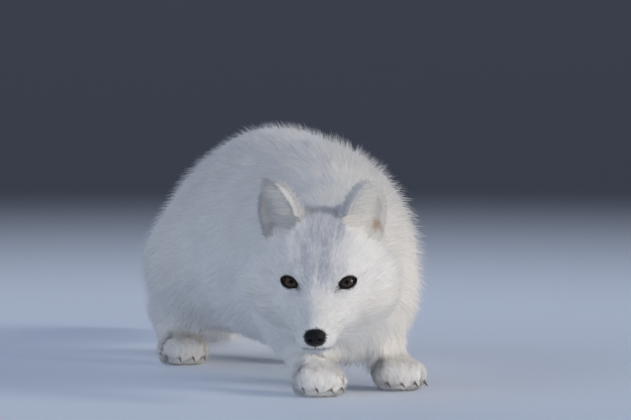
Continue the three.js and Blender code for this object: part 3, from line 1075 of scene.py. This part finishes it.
# Soft-edged zones of the head. Each row names a way, and where along it the zone starts from nothing and
# where it is whole, in millimetres. "aside" is the distance to either side, "lip up" the height over the
# lip line and "lip" the distance from it.
ZONES = {
    "brow": [("aside", 30, 6), ("ahead", -84, -56), ("ahead", 34, 4), ("up", -20, -4)],
    # The two lit zones carry cream that is partly a painted warm glow on the lit left side.
    "lit ruff": [("side", 30, 52), ("ahead", -30, -62)],
    "lit cheek": [("side", 18, 34), ("ahead", 22, 0), ("up", -6, -24)],
    "mouth": [("lip", 1.5, 0.5), ("ahead", 6, 16), ("ahead", 72, 66)],
    "cleft": [("aside", 0.9, 0.4), ("ahead", 58, 62), ("lip up", -1, 0), ("up", -28, -32)],
    "cheek": [("aside", 22, 42), ("ahead", 14, -20), ("ahead", -100, -76), ("up", 20, -6)],
    "throat": [("up", -24, -44), ("ahead", 30, 4)],
    "ruff": [("ahead", -150, -100), ("up", 14, -14)],
}


def zone(name, place):
    """1 within a zone of the head and 0 outside it."""
    side, ahead, up = place.T
    lip = up - np.interp(ahead, *LIP_LINE)
    ways = {"side": side, "aside": np.abs(side), "ahead": ahead, "up": up, "lip up": lip, "lip": np.abs(lip)}
    return math.prod(rise(low, high, ways[way]) for way, low, high in ZONES[name])


def body_marks(points, weights, streaks):
    """Ash on the rump and the tail, and grey on the top of the back that is partly ash and partly painted
    shade.
    """
    soft = wander(points, 38, 3)
    grey_tail = 0.25 * share_of(weights, "tail") * rise(-0.4, 0.6, soft)
    top = rise(120, 200, points[:, 2]) * (1 - share_of(weights, "head", "ears"))
    return [
        (ASH_AND_PAINTED_SHADE, (0.25 * share_of(weights, "rump") + grey_tail) * streaks),
        # painted shade: the grey on the top of the back partly stands for the shade that falls there
        (ASH_AND_PAINTED_SHADE, 0.6 * top * streaks * rise(-2.4, 1.6, soft)),
    ]


def face_marks(points, weights, streaks):
    """A slate brow in streaks, faint cream on the lit left cheek and ruff that is partly painted warm light,
    and the lines of the mouth.
    """
    place = in_head(points)
    fanned = place * np.array([1.0, 0.14, 0.14])
    fan = 0.75 + 0.55 * wander(fanned, 3.2, 5) + 0.3 * wander(fanned, 9.0, 6)
    on_head = share_of(weights, "head", "ears")
    brow = zone("brow", place) * mix(0.5, 1.25, rise(-64, -16, place[:, 1]))
    lines = np.maximum(0.55 * zone("mouth", place), 0.7 * zone("cleft", place))
    return [
        (SLATE, 0.8 * brow * on_head * np.clip(fan, 0, 1.4) * streaks),
        # painted light: the cream on the lit left ruff and cheek is partly a painted warm glow of the key
        # light
        (CREAM_AND_PAINTED_WARM_LIGHT, 0.35 * zone("lit ruff", place) * (share_of(weights, "neck") + on_head)),
        (CREAM_AND_PAINTED_WARM_LIGHT, 0.22 * zone("lit cheek", place) * on_head),
        (SOOT, lines * on_head),
    ]


def ear_marks(points, weights):
    """Each ear's own grey, darker on the right ear partly as painted shade, and rust in the left one's cup.
    """
    marks = []
    for side, ear in EARS.items():
        mine = np.sign(in_head(points)[:, 0]) == ear.side
        out, front, up = ear.places(points).T
        # painted shade: the right ear's grey is darker than the left's partly to stand for its shade
        marks.append((EAR_GREY_AND_PAINTED_SHADE[side], 0.3 * share_of(weights, "ears") * mine))
        marks.append((RUST, 0.6 * ear.rusty * rust_spot(out, up) * rise(-14, -4, front) * mine))
    return marks


def eye_marks(points, on_skin):
    """A dark line from each eye's outer corner, and dark skin at the lids' edges and under the nose."""
    marks = []
    for eye in EYES.values():
        close = eye.near(points)
        arcs, distance = eye.arcs(points[close])
        beyond = arcs[:, 0] - OPENING["outer"]
        line = rise(1.0, 0.3, np.abs(arcs[:, 1] + 0.62 * beyond)) * rise(-1, 0, beyond) * rise(9, 2, beyond)
        reach = mix(2.8, 1.1, rise(*INNER_SIDE, arcs[:, 0]))
        edge = rise(reach, 0.5 * reach, clear_of_lids(arcs, distance))
        share = np.zeros(len(points))
        share[close] = np.maximum(0.45 * line, 0.85 * edge * on_skin)
        marks.append((SOOT, share))
    marks.append((SOOT, 0.9 * on_skin * rise(1.3, 1.12, nose_span(points))))
    return marks


def markings(points, weights, seed=None):
    """The coat's colours: white, with its marks laid over each other. A seed makes them streaky."""
    streaks = 1.0 if seed is None else np.random.default_rng(seed).uniform(0.3, 1.7, len(points))
    marks = body_marks(points, weights, streaks) + face_marks(points, weights, streaks)
    marks += ear_marks(points, weights) + eye_marks(points, on_skin=seed is None)
    colours = np.tile(WHITE, (len(points), 1))
    for colour, share in marks:
        colours = mix(colours, colour, np.clip(share, 0, 1)[:, None])
    return colours


def tinted(colours, amount, seed):
    """Small differences from tuft to tuft."""
    some = np.random.default_rng(seed).normal(1, amount, (len(colours), 1))
    return colours * np.clip(some, 0.6, 1.1)


# ---------------------------------------------------------------- tufts

PATCH = 0.003  # how wide each tuft is on the unwrap
LIMIT = 195000  # most triangles in one piece of the coat
TUFT_FACES = 6
TUFT_POINTS = 5
GROUND_GAP = 0.4  # between the lowest hair and the floor
ROOT_SUNK = 0.6  # how deep a tuft starts under the skin
CLEAR_OF_LIDS = 1.3


class Roots:
    """Places on the skin where tufts grow, with what the coat needs to know there."""

    def __init__(self, surface, skin, density, seed):
        local = np.random.default_rng(seed)
        mesh = skin.data
        mesh.calc_loop_triangles()
        faces = mesh.loop_triangles
        triangles = (read(mesh.vertices, "co", 3) / MM)[read(faces, "vertices", 3, np.int32)]
        unwrap = read(mesh.uv_layers["OFBake"].data, "uv", 2)[read(faces, "loops", 3, np.int32)]
        normal = np.cross(triangles[:, 1] - triangles[:, 0], triangles[:, 2] - triangles[:, 0])
        area = np.linalg.norm(normal, axis=1) / 2
        middles = triangles.mean(1)
        wanted = np.cumsum(area * density(middles, surface.regions(middles)))
        total = int(wanted[-1])
        face = np.searchsorted(wanted, np.arange(total) + local.random(total))
        face = np.minimum(face, len(faces) - 1)
        u, v = local.random((2, total))
        over = u + v > 1
        u, v = np.where(over, 1 - u, u), np.where(over, 1 - v, v)
        shares = np.stack([1 - u - v, u, v], axis=1)[..., None]
        self.points = (triangles[face] * shares).sum(1)
        self.unwrap = (unwrap[face] * shares).sum(1)
        self.weights = surface.regions(self.points)
        self.normals = surface.outward(self.points)

    def only(self, keep):
        """The roots for which keep is true, with all that is known of them."""
        made = object.__new__(type(self))
        for name, values in vars(self).items():
            setattr(made, name, values[keep])
        return made

    def __len__(self):
        return len(self.points)


def spindles(line, widths, outward, soft, flat):
    """Each tuft's root point, three corners at its middle and tip, with the shading normals there."""
    along = unit(line[:, 2] - line[:, 0])
    across = unit(np.cross(along, outward))
    over = np.cross(across, along)
    turn = 2 * math.pi * np.arange(3) / 3 + math.pi / 2
    cos, sin = np.cos(turn)[:, None], np.sin(turn)[:, None]
    round_it = across[:, None] * cos + over[:, None] * sin
    offset = across[:, None] * cos + over[:, None] * sin * flat
    ring = line[:, 1:2] + widths[:, None, None] / 2 * offset
    facing = outward[:, None]
    normals = np.concatenate([facing, unit(mix(round_it, facing, soft)), facing], axis=1)
    return np.concatenate([line[:, :1], ring, line[:, 2:]], axis=1), normals


def spindle_faces():
    """The faces of one tuft, and where their corners lie on its patch of the unwrap."""
    k = np.arange(3)
    after = (k + 1) % 3
    lower = np.stack([1 + k, 1 + after, np.zeros(3, int)], axis=1)
    upper = np.stack([1 + k, np.full(3, 4), 1 + after], axis=1)
    lower_places = np.stack([k[:, None] + [0, 1, 0.5], np.tile([1.5, 1.5, 0], (3, 1))], axis=-1) / 3
    upper_places = np.stack([k[:, None] + [0, 0.5, 1], np.tile([1.5, 3, 1.5], (3, 1))], axis=-1) / 3
    return np.concatenate([lower, upper]), np.concatenate([lower_places, upper_places])


def tuft_mesh(name, line, widths, outward, colours, unwrap, soft, flat):
    """Tufts as one mesh of closed spindles.

    line holds each tuft's three points, widths its width at the middle, and colours the colour at each
    point. soft is how much its shading follows the coat's surface, given by outward, and flat its height
    as a share of its width.
    """
    points, normals = spindles(line, widths, outward, soft, flat)
    middle_tints = np.repeat(colours[:, 1:2], 3, axis=1)
    tints = np.concatenate([colours[:, :1], middle_tints, colours[:, 2:]], axis=1)
    faces, places = spindle_faces()
    starts = (TUFT_POINTS * np.arange(len(line)))[:, None, None]
    obj = mesh_of(name, points.reshape(-1, 3), [(starts + faces).reshape(-1, 3)])
    give_unwrap(obj, unwrap[:, None, None] + PATCH * (places - 0.5))
    give_colours(obj, tints.reshape(-1, 3))
    obj.data.normals_split_custom_set_from_vertices(normals.reshape(-1, 3).astype(np.float32))
    obj.visible_shadow = False  # hair lets light through, and the skin under it casts the shadow
    return obj


def on_unwrap(skin, points):
    """Where places on the skin are on its unwrap."""
    mesh = skin.data
    by_vertex = np.zeros((len(mesh.vertices), 2), np.float32)
    corners = read(mesh.loops, "vertex_index", kind=np.int32)
    by_vertex[corners] = read(mesh.uv_layers["OFBake"].data, "uv", 2)
    return by_vertex[nearest(tree_of(read(mesh.vertices, "co", 3) / MM), points)]


def locks_of(roots, each, seed):
    """The lock that each tuft belongs to, of about `each` tufts, and the tuft at each lock's middle."""
    local = np.random.default_rng(seed)
    middles = np.sort(local.choice(len(roots), max(1, len(roots) // each), replace=False))
    return nearest(tree_of(roots[middles]), roots), middles


def laid(surface, roots, height, run, spread, locks, seed):
    """Each tuft's line of three points: its root, out over the middle, and along the coat to its tip.

    locks holds (tufts in a lock, how far their tips are drawn together), the small locks first.
    """
    local = np.random.default_rng(seed)
    count = len(roots)
    lie = lie_of(roots.points, roots.normals, roots.weights)
    turn = spread * (0.6 * local.normal(size=count) + wander(roots.points, 26, seed + 1))
    across = np.cross(roots.normals, lie)
    lie = lie * np.cos(turn)[:, None] + across * np.sin(turn)[:, None]
    root_depth = surface.distance(roots.points)
    tips = roots.points + roots.normals * height[:, None] + lie * run[:, None]
    pulled_roots = roots.points
    for level, (each, pull) in enumerate(locks):
        lock, chosen = locks_of(roots.points, each, seed + 2 + level)
        tips = mix(tips, tips[chosen][lock], pull)
        pulled_roots = mix(pulled_roots, pulled_roots[chosen][lock], pull)
    for _ in range(2):
        miss = root_depth + height - surface.distance(tips)
        tips = tips + surface.outward(tips) * np.clip(miss, -9, 9)[:, None]
    at_end = rise(0.25, 0.9, roots.normals @ TAIL_WAY) * share_of(roots.weights, "tail")
    at_end = at_end * rise(-60, -24, roots.points[:, 1] - TAIL_POINT[1])
    tips = mix(tips, TAIL_POINT, 0.7 * at_end[:, None])
    middles = roots.points + roots.normals * (0.66 * height)[:, None] + lie * (0.38 * run)[:, None]
    middles = middles + 0.5 * (pulled_roots - roots.points)
    tips[:, 2] = np.maximum(tips[:, 2], GROUND_GAP)
    middles[:, 2] = np.maximum(middles[:, 2], GROUND_GAP + 0.6)
    base = roots.points - roots.normals * ROOT_SUNK
    return clear_of_eyes(np.stack([base, middles, tips], axis=1))


def clear_of_eyes(line):
    """Shortens the tufts that would reach over the eyes' openings."""
    for eye in EYES.values():
        close = np.flatnonzero(eye.near(line[:, 2]))
        for _ in range(4):
            over = close[clear_of_lids(*eye.arcs(line[close, 2])) < CLEAR_OF_LIDS]
            line[over, 1:] = mix(line[over, :1], line[over, 1:], 0.62)
    return line


# ---------------------------------------------------------------- the coat

LOCK_TILT = [(9, 0.11), (70, 0.12)]  # how far the shading leans from lock to lock
LOCK_TINT = 0.022
TUFT_SHADE = (0.92, 0.97, 1.0)  # of each tuft's tint at its root, its middle and its tip
FACE_PER_MM2 = 1.7
GUARD_PER_MM2 = 0.075
THINNED = 1.0
WIDTHS = ([1, 4, 10, 16], [0.5, 0.72, 0.92, 1.1])  # of a tuft, by the coat's depth
# How far the coat stands proud of the solids where it is fluffiest.
PROUD = {"face": 10.0, "at ears": 8.0, "belly": 9.0, "ruff": 9.0, "tail": 5.0, "paws": 2.5}


def face_share(points):
    """1 on the face, where the coat is short, and 0 behind it."""
    return rise(-44, -16, in_head(points)[:, 1])


def bare(points):
    """0 on the lids' edges and under the nose, and 1 a little away from them."""
    clear = np.ones(len(points))
    for eye in EYES.values():
        close = eye.near(points)
        clear[close] *= rise(1.0, 1.5, clear_of_lids(*eye.arcs(points[close])))
    return clear * rise(0.95, 1.04, nose_span(points))


def coat_density(points, weights):
    more_on_face = FACE_PER_MM2 - PER_MM2[REGION["head"]]
    values = weights @ PER_MM2 + share_of(weights, "head") * face_share(points) * more_on_face
    return THINNED * values * bare(points)


def guard_density(points, weights):
    furred = 1 - share_of(weights, "paws") - share_of(weights, "ears")
    return THINNED * GUARD_PER_MM2 * furred * bare(points)


def fluff_of(points, normals, weights):
    """How far the coat stands proud of the solids at its fluffiest."""
    place = in_head(points)
    belly = rise(-0.2, -0.8, normals[:, 2]) * share_of(weights, "chest", "loin", "rump")
    in_ears = share_of(weights, "ears")
    at_ears = rise(0.01, 0.12, in_ears) * rise(0.6, 0.3, in_ears)
    face = np.maximum(zone("cheek", place), zone("throat", place))
    proud = PROUD["face"] * face * share_of(weights, "head") + PROUD["at ears"] * at_ears
    proud = proud + PROUD["belly"] * belly
    proud += PROUD["ruff"] * zone("ruff", place) * share_of(weights, "neck")
    proud += PROUD["tail"] * share_of(weights, "tail")
    return proud + PROUD["paws"] * share_of(weights, "paws")


def coat_heights(roots, depth, local):
    """How high each tuft stands over the skin, and how far that may take it proud of the solids."""
    proud = fluff_of(roots.points, roots.normals, roots.weights)
    share = local.random(len(roots)) ** 0.55
    return depth * mix(0.55, 1.02, share) + proud * local.random(len(roots)), proud


def guard_heights(roots, depth, local):
    """The same for the single hairs that stand out of the coat."""
    stray = (roots.weights @ STRAYS) * local.random(len(roots)) ** 2
    clear = np.minimum(1.2, 0.3 * depth) + stray
    return depth * mix(1.05, 1.3, local.random(len(roots))) + clear, 0


# The coat's tufts and its thin single hairs: how many grow and how high, their least and greatest run and
# width as shares of the usual, their usual width as a share of WIDTHS, how far they turn aside, their locks,
# and how softly they are shaded. A lock is (tufts in it, how far their tips are drawn together).
KINDS = {
    "coat": {
        "density": coat_density,
        "heights": coat_heights,
        "runs": (0.75, 1.15),
        "widths": (0.7, 1.25),
        "width": 1.0,
        "spread": 0.20,
        "locks": [(9, 0.22), (80, 0.2)],
        "soft": 0.92,
    },
    "guard": {
        "density": guard_density,
        "heights": guard_heights,
        "runs": (0.75, 1.05),
        "widths": (0.7, 1.2),
        "width": 0.4,
        "spread": 0.26,
        "locks": [(3, 0.18)],
        "soft": 0.8,
    },
}


def add_coat(surface, skin, fur):
    for kind, ways in KINDS.items():
        seed = SEEDS[kind]
        roots = Roots(surface, skin, ways["density"], seed)
        local = np.random.default_rng(seed + 1)
        depth = -surface.distance(roots.points)
        height, proud = ways["heights"](roots, depth, local)
        run = coat_lie(roots.points, roots.weights) * mix(*ways["runs"], local.random(len(roots)))
        line = laid(surface, roots, height, run + 1.4 * proud, ways["spread"], ways["locks"], seed + 2)
        wide = ways["width"] * np.interp(depth, *WIDTHS) * mix(*ways["widths"], local.random(len(roots)))
        add_tufts(kind, line, wide, surface, roots, fur, ways["soft"])


def add_tufts(kind, line, widths, surface, roots, fur, soft):
    """One piece of the coat for each region, parted further where it would be too large."""
    regions = roots.weights.argmax(1)
    local = np.random.default_rng(SEEDS["lean"])
    outward = unit(mix(surface.outward(line[:, 2]), roots.normals, 0.35))
    base = tinted(markings(roots.points, roots.weights, SEEDS["streaks"]), 0.04, SEEDS["tints"])
    on_head = share_of(roots.weights, "head")
    calm = 1 - 0.3 * on_head - 0.35 * on_head * face_share(roots.points)
    calm = calm - 0.4 * share_of(roots.weights, "paws")
    for each, tilt in LOCK_TILT:
        lock, chosen = locks_of(roots.points, each, SEEDS["locks"] + each)
        lean = tilt * local.normal(size=(len(chosen), 3))[lock]
        outward = unit(outward + lean * calm[:, None])
        base = base * np.clip(1 + LOCK_TINT * local.normal(size=len(chosen)), 0.85, 1.08)[lock][:, None]
    colours = base[:, None] * np.array(TUFT_SHADE)[:, None]
    for name, index in REGION.items():
        mine = np.flatnonzero(regions == index)
        if not len(mine):
            continue
        mine = mine[np.argsort(roots.points[mine, 1], kind="stable")]
        parts = math.ceil(len(mine) * TUFT_FACES / LIMIT)
        for i, some in enumerate(np.array_split(mine, parts)):
            title = f"{kind}_{name}" + (f"_{i + 1}" if parts > 1 else "")
            parts_of_tufts = (line[some], widths[some], outward[some], colours[some], roots.unwrap[some])
            as_piece(tuft_mesh(title, *parts_of_tufts, soft, 0.5), fur)


# ---------------------------------------------------------------- hair of the ears

HAIRS_PER_MM2 = 3.0
CUP_LENGTHS = (11.0, 23.0)  # of the hair in the cup's middle and at its inner and lower edges
RIM_LENGTHS = (3.0, 7.5)
EAR_SHADE = (0.8, 0.95, 1.0)  # of each hair's tint at its root, its middle and its tip


def rim_level(front, up):
    """How far forward the ear's rim stands at each height, which is as far as hair fills its cup."""
    heights = np.linspace(*np.percentile(up, (2, 98)), 12)
    levels = [np.percentile(front[np.abs(up - height) < 5], 95) for height in heights]
    return np.interp(up, heights, levels)


class EarRoots(Roots):
    """Places on one ear where hair grows, in its cup and round its rim."""

    def __init__(self, surface, skin, ear, seed):
        def density(points, weights):
            mine = np.sign(in_head(points)[:, 0]) == ear.side
            return HAIRS_PER_MM2 * share_of(weights, "ears") * mine

        super().__init__(surface, skin, density, seed)
        self.out, front, self.up = ear.places(self.points).T
        facing = self.normals @ ear.front
        self.cup, self.rim = facing > 0.25, np.abs(facing) <= 0.45
        self.inner, self.near_rim = rise(6, -12, self.out), rise(-3, -13, self.out)
        self.low, self.outer = rise(12, -6, self.up), rise(4, 12, self.out)
        behind_rim = np.clip(rim_level(front, self.up) - front - 1.5, 0, 14)
        self.filled = ear.front * np.where(self.cup, behind_rim, 0)[:, None]


def ear_hair_lines(ear, roots, local):
    """Long hair that fills the cup from its edges, and short hair out of the rim, as three points each."""
    cup, inner, low, outer = roots.cup, roots.inner, roots.low, roots.outer
    across = ear.out * (1.5 * inner - 0.45 * outer)[:, None] + ear.up * (0.65 + 0.4 * low)[:, None]
    across = across + ear.front * (0.3 + 0.5 * np.maximum(low, outer) + 0.7 * roots.near_rim)[:, None]
    radial = unit(roots.normals + 0.6 * ear.up)
    astray = np.where(cup, 0.13, 0.24)[:, None] * local.normal(size=(len(roots), 3))
    lean = unit(np.where(cup[:, None], across, radial) + astray)
    long = mix(*CUP_LENGTHS, np.maximum(inner, 0.8 * low))
    length = np.where(cup, long, mix(*RIM_LENGTHS, local.random(len(roots))))
    length = length * mix(0.6, 1.1, local.random(len(roots)))
    middles = roots.points + lean * (0.45 * length)[:, None] + roots.normals * 0.8 + 0.7 * roots.filled
    tips = roots.points + lean * length[:, None] + ear.front * np.where(cup, 1.0, -0.3)[:, None]
    return np.stack([roots.points - roots.normals * 0.5, middles, tips + 0.85 * roots.filled], axis=1)


def ear_hair_colours(side, ear, roots, seed):
    """Pale cup hair, darker in the right ear partly as painted shade, rust in the left, and darkened coat
    colours on the rim.
    """
    # painted shade: the right ear's cup hair is darker partly to stand for its shade
    pale = np.tile(EAR_GREY_AND_PAINTED_SHADE[side] * 1.07, (len(roots), 1))
    pale = mix(pale, IVORY, (0.4 * roots.near_rim)[:, None])
    colours = np.where(roots.cup[:, None], pale, 0.80 * markings(roots.points, roots.weights))
    rust = 0.75 * ear.rusty * rust_spot(roots.out, roots.up) * roots.cup
    colours = tinted(mix(colours, RUST, rust[:, None]), 0.10, seed)
    return colours[:, None] * np.array(EAR_SHADE)[:, None]


def add_ear_hair(surface, skin, fur):
    """Long pale hair across each cup, and a soft fringe round its rim."""
    for number, (side, ear) in enumerate(EARS.items()):
        roots = EarRoots(surface, skin, ear, SEEDS["ear roots"] + number)
        local = np.random.default_rng(SEEDS["ear hair"] + number)
        at_edge = np.maximum(roots.inner, np.maximum(roots.low, roots.outer))
        wanted = np.where(roots.cup, 0.5 + 0.5 * at_edge, 0) + np.where(roots.rim, 0.7, 0)
        roots = roots.only(local.random(len(roots)) < wanted * THINNED)
        line = ear_hair_lines(ear, roots, local)
        widths = np.where(roots.cup, 0.5, 0.6) * mix(0.7, 1.3, local.random(len(roots)))
        in_cup = unit(roots.normals + 1.2 * ear.front + 0.5 * ear.out)
        outward = np.where(roots.cup[:, None], in_cup, unit(roots.normals + 0.5 * ear.front))
        colours = ear_hair_colours(side, ear, roots, SEEDS["ear tints"] + number)
        tufts = tuft_mesh(f"hair_ear_{side}", line, widths, outward, colours, roots.unwrap, 0.75, 0.6)
        as_piece(tufts, fur)


# ---------------------------------------------------------------- lid rims, nose, whiskers and claws

RIM = {"wide": 1.0, "high": 0.7, "lift": 0.75}


def add_lid_rims():
    """A dark bare rim round each eye's opening, as fine as it is in life."""
    material = leather_material("rim", (0.006, 0.005, 0.005), (0.02, 0.016, 0.015), 1800, 0.3, 0.32)
    for side, eye in EYES.items():
        centre = OUTLINE.mean(0)
        height = BALL + RIM["lift"]
        path = eye.at(OUTLINE, height)
        outer = eye.at(centre + (OUTLINE - centre) * 1.05, height)
        x = OUTLINE[:, 0]
        slim = rise(OPENING["inner"] - 0.5, OPENING["inner"] + 4, x) * 0.5 + 0.5
        radii = np.stack([RIM["wide"] * slim, RIM["high"] * slim], axis=1)
        points, faces = sweep(path, radii, outer - path, closed=True)
        as_piece(mesh_of(f"lid_rim_{side}", points, faces), material)


NOSE = {"wide": 9.9, "high": 7.7, "deep": 8.4, "back": 0.9, "pebbles": 1500}
WHISKERS = {"rows": 3, "in_row": 4, "stations": 9, "around": 5}
WHISKER_RADII = (0.17, 0.03)  # at the root and at the tip


def nose_shape(places):
    """A unit ball's points as the nose leather: broad above, with nostrils, wings and a groove below."""
    x, y, z = places.T
    broad = mix(0.80, 1.0, rise(-0.9, 0.25, z))
    flat = mix(1.0, 0.88, rise(0.2, 0.9, y))
    side = NOSE["wide"] * np.sign(x) * np.abs(x) ** 0.86 * broad
    up = NOSE["high"] * np.sign(z) * np.abs(z) ** 0.88
    ahead = NOSE["deep"] * y * flat
    across = np.abs(side)
    front = rise(0.0, 0.5, y)

    def dent(at_side, at_up, wide, high):
        return np.exp(-(((across - at_side) / wide) ** 2) - ((up - at_up) / high) ** 2)

    nostril = 3.4 * dent(4.2, -1.0, 1.7, 1.5) + 1.5 * dent(7.0, -2.2, 1.9, 0.8)
    wing = 0.7 * dent(5.4, 2.4, 3.0, 1.3) + 0.4 * dent(4.6, -4.2, 2.2, 1.2)
    groove = 0.9 * np.exp(-((side / 0.7) ** 2)) * rise(1.5, -2.5, up)
    ahead = ahead + front * (wing - nostril - groove)
    return np.stack([side, ahead, up], axis=1)


def add_nose():
    places, faces = ball_mesh(96, 72)
    shaped = nose_shape(places[:, [0, 2, 1]] * np.array([1, 1, -1]))
    points = EYE_MIDDLE + (shaped + NOSE_MIDDLE - np.array([0, NOSE["back"], 0])) @ HEAD_AXES
    dark, light = (0.003, 0.003, 0.0035), (0.014, 0.014, 0.016)
    material = leather_material("nose", dark, light, NOSE["pebbles"], 0.8, 0.42)
    as_piece(mesh_of("nose_leather", points, faces), material, ["nose"])


def add_whiskers(surface, skin):
    """A few fine whiskers from each side of the muzzle."""
    local = np.random.default_rng(SEEDS["whiskers"])
    rows, in_row, stations, around = WHISKERS.values()
    whisker = Coating("whisker", Roughness=0.4, IOR=1.5)
    colour, _ = whisker.mottle([(0.4, (0.45, 0.43, 0.41)), (0.6, (0.75, 0.73, 0.70))], Scale=90.0)
    whisker.surface(Base_Color=colour)
    t = np.linspace(0, 1, stations)[:, None]
    radius = mix(*WHISKER_RADII, t)
    sag = (DOWN * 0.16 - FORWARD * 0.12) * t**2
    tubes, roots = [], []
    for side, row, k in product(SIDES.values(), range(rows), range(in_row)):
        root = from_head(side * (14 + 1.6 * k), 56 - 5.5 * k - 1.5 * row, -22 - 4.5 * row)[None]
        root = root - surface.outward(root) * surface.distance(root)[:, None]
        out = surface.outward(root)[0]
        lean = unit(0.8 * out + 0.75 * SIDEWAYS * side - (0.35 + 0.2 * k) * FORWARD)
        length = (22 + 5 * k) * local.uniform(0.85, 1.1)
        path = root[0] - out * 2 + lean * length * t + sag * length
        tubes.append(sweep(path, np.hstack([radius, radius]), UPWARD, around=around))
        roots.append(root[0])
    points, sides = joined((points, faces[0]) for points, faces in tubes)
    _, ends = joined((points, faces[1]) for points, faces in tubes)
    made = mesh_of("whiskers", points, [sides, ends])
    which, place = np.divmod(read(made.data.loops, "vertex_index", kind=np.int32), stations * around)
    patch = np.stack([place % around / (around - 1), place // around / (stations - 1)], axis=1) - 0.5
    give_unwrap(made, on_unwrap(skin, np.array(roots))[which] + PATCH * patch)
    as_piece(made, whisker.material)


def dress_claws():
    """Horn for the claws, which keep their CAD shape."""
    horn = Coating("horn", Roughness=0.32, IOR=1.5, Coat_Weight=0.3)
    stops = [(0.35, (0.10, 0.085, 0.075)), (0.65, (0.26, 0.23, 0.20))]
    colour, streaks = horn.mottle(stops, Scale=420.0, Detail=3.0)
    horn.surface(Base_Color=colour)
    horn.raised(streaks, 0.25, 0.0003)
    for name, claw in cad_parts.items():
        if name.startswith("claw"):
            claw.data.materials.clear()
            claw.data.materials.append(horn.material)
            for face in claw.data.polygons:
                face.use_smooth = True


# ---------------------------------------------------------------- the fox, put together


def unwrap(obj):
    """Lays the skin out flat as the OFBake map, which the tufts take their places from."""
    obj.data.uv_layers.new(name="OFBake")
    bpy.ops.object.select_all(action="DESELECT")
    obj.select_set(True)
    bpy.context.view_layer.objects.active = obj
    bpy.ops.object.mode_set(mode="EDIT")
    bpy.ops.mesh.select_all(action="SELECT")
    bpy.ops.uv.smart_project(angle_limit=math.radians(66), island_margin=0.002)
    bpy.ops.object.mode_set(mode="OBJECT")


def add_skin(surface, fur):
    built = skin_bmesh(surface)
    points = sink_nose(shape_lids(np.array([vert.co for vert in built.verts])))
    faces = [[v.index for v in face.verts] for face in built.faces]
    built.free()
    by_size = [np.array([face for face in faces if len(face) == size]).reshape(-1, size) for size in (3, 4)]
    skin = mesh_of("skin", points, by_size)
    give_colours(skin, markings(points, surface.regions(points)) * 0.85)
    unwrap(skin)
    worn = [name for name in FLESH if name != "nose" and not name.startswith("eye")]
    return as_piece(skin, fur, worn)


def add_eyeballs():
    material = eye_material()
    gaze = unit(np.array([math.sin(GAZE), -math.cos(GAZE), GAZE_RISE]))
    right = unit(np.cross(-DOWN, gaze))
    axes = np.stack([right, np.cross(gaze, right), gaze])
    for side, eye in EYES.items():
        places, faces = ball_mesh(48, 32)
        ball = mesh_of(f"eyeball_{side}", eye.centre + BALL * places @ axes, faces)
        angle = np.arccos(np.clip(places[:, 2], -1, 1)) / math.radians(60)
        looks = np.stack([places[:, 0], places[:, 1], 0.9 * angle], axis=1)
        give_attribute(ball, "gaze", "FLOAT_VECTOR", "vector", looks)
        as_piece(ball, material, [f"eye_{side}"])


surface = Surface()
fur = fur_material()
skin = add_skin(surface, fur)
add_eyeballs()
add_lid_rims()
add_nose()
add_coat(surface, skin, fur)
add_ear_hair(surface, skin, fur)
add_whiskers(surface, skin)
dress_claws()
add_stage()
